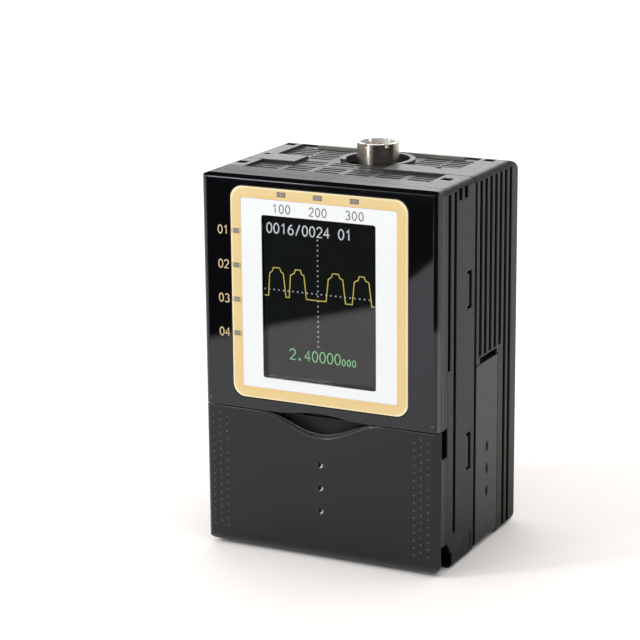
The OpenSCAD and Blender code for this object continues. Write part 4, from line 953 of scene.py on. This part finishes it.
class CONTROLLER_OT_flap_dots(bpy.types.Operator):
    """Columns of small bumps at both sides of the flap, and two on the bezel"""

    bl_idname = "controller.flap_dots"
    bl_label = "Flap dots"

    def execute(self, context):
        dots = Parts()
        for side in BUMP_COLUMNS:
            for column, x in enumerate(side):
                shift = BUMP_ROWS[2] / 2 * (column % 2)
                for z in np.arange(*BUMP_ROWS):
                    dome(dots, x, z + shift, *BUMP_SIZE, FLAP_Y)
        dots.make("flap_bumps", FINISH["bump_highlit"], "flap", "gloss_black", 40)
        pair = Parts()
        for x in (-PAIR_X, PAIR_X):
            dome(pair, x, PAIR_Z, *PAIR_SIZE, FRONT_Y)
        pair.make("bezel_bumps", FINISH["bump_highlit"], "case", "gloss_black", 40)
        return {"FINISHED"}


# Key marks, in millimetres about the middle of a key: the arrow of the upper key, half a bar, the
# bars' levels, the ring's radius, the strokes of the three, and how far they start ahead of the
# key and how thick they are
ARROW = ((-0.9, -0.55), (0, 0.75), (0.9, -0.55))
BAR_HALF, BAR_LEVELS, RING_R = 0.8, {"back": (0.0,), "menu": (-0.6, 0.0, 0.6)}, 0.75
ARROW_STROKE, BAR_STROKE, RING_STROKE = 0.36, 0.28, 0.3
MARK_AHEAD, MARK_T = 0.06, 0.08


class CONTROLLER_OT_key_marks(bpy.types.Operator):
    """Raised arrows on the cursor keys, a ring on the enter key and bars on the others"""

    bl_idname = "controller.key_marks"
    bl_label = "Key marks"

    def execute(self, context):
        for key, turn in (("up", 0), ("left", 90), ("down", 180), ("right", 270)):
            a = math.radians(turn)
            turned = np.array([(math.cos(a), math.sin(a)), (-math.sin(a), math.cos(a))])
            self.mark(key, "arrow", [np.array(ARROW) @ turned], ARROW_STROKE)
        for key, levels in BAR_LEVELS.items():
            bars = [[(-BAR_HALF, level), (BAR_HALF, level)] for level in levels]
            self.mark(key, "bars", bars, BAR_STROKE)
        self.mark("enter", "ring", [arc(0, 0, RING_R, RING_R, 0, 352, 30)], RING_STROKE, True)
        return {"FINISHED"}

    def mark(self, key, shape, paths, width, closed=False):
        """Strokes on the front of a key, along paths about its middle."""
        low, high = node_box("key_" + key)
        middle = ((low + high) / 2)[[0, 2]]
        parts = Parts()
        for path in paths:
            front = low[1] - MARK_AHEAD
            parts.add(*stroke(np.asarray(path) + middle, width, MARK_T, front, closed))
        parts.make(f"{key}_{shape}", FINISH["mark_white"], key + "_key", "key_grey")


class CONTROLLER_OT_latch_coil(bpy.types.Operator):
    """Coil spring of the rail latch, made in the place of the spring node, which it hides"""

    bl_idname = "controller.latch_coil"
    bl_label = "Latch coil"

    def execute(self, context):
        low, high = node_box("latch_spring")
        wire = 0.22
        radius = (high[0] - low[0]) / 2 - wire
        middle = (low + high) / 2
        turns, steps, sides = 6, 168, 12
        t = np.linspace(0, 1, steps)[:, None]
        a = np.linspace(0, 2 * np.pi, sides, endpoint=False)[None, :]
        turn = 2 * np.pi * turns * t
        r = radius + wire * np.cos(a)
        x = middle[0] + r * np.cos(turn)
        y = middle[1] + r * np.sin(turn)
        z = low[2] + wire + (high[2] - low[2] - 2 * wire) * t + wire * np.sin(a)
        points = np.stack([x, y, z], -1).reshape(-1, 3)
        faces = grid_faces(steps, sides, False, True)[:, ::-1].tolist()
        faces += [list(range(sides)), list(range(steps * sides - 1, (steps - 1) * sides - 1, -1))]
        coil = add_piece("latch_coil", points, faces, FINISH["bright_steel"], "case",
                         60)
        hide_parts("latch_spring")
        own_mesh(coil)
        return {"FINISHED"}


STEPS = (CONTROLLER_OT_finishes, CONTROLLER_OT_display_picture, CONTROLLER_OT_front_numbers,
         CONTROLLER_OT_flap_dots, CONTROLLER_OT_key_marks, CONTROLLER_OT_latch_coil,
         CONTROLLER_OT_stage)


class CONTROLLER_PT_steps(bpy.types.Panel):
    """Making steps and settings of the controller"""

    bl_idname = "CONTROLLER_PT_steps"
    bl_label = "Controller"
    bl_space_type = "VIEW_3D"
    bl_region_type = "UI"
    bl_category = "Controller"

    def draw(self, context):
        for group in ("controller_colours", "controller_display", "controller_stage"):
            settings = getattr(context.scene, group)
            for name in settings.bl_rna.properties.keys():
                if name not in ("rna_type", "name"):
                    self.layout.prop(settings, name)
        for step in STEPS:
            self.layout.operator(step.bl_idname)


GROUPS = {"controller_colours": ControllerColours, "controller_display": ControllerDisplay,
          "controller_stage": ControllerStage}


def register():
    for cls in (*GROUPS.values(), *STEPS, CONTROLLER_PT_steps):
        bpy.utils.register_class(cls)
    for name, group in GROUPS.items():
        setattr(bpy.types.Scene, name, PointerProperty(type=group))


def unregister():
    for name in GROUPS:
        delattr(bpy.types.Scene, name)
    for cls in reversed((*GROUPS.values(), *STEPS, CONTROLLER_PT_steps)):
        bpy.utils.unregister_class(cls)


def main():
    register()
    bpy.ops.controller.finishes()
    bpy.ops.controller.display_picture()
    bpy.ops.controller.front_numbers()
    bpy.ops.controller.flap_dots()
    bpy.ops.controller.key_marks()
    bpy.ops.controller.latch_coil()
    bpy.ops.controller.stage()


if __name__ == "__main__":
    main()
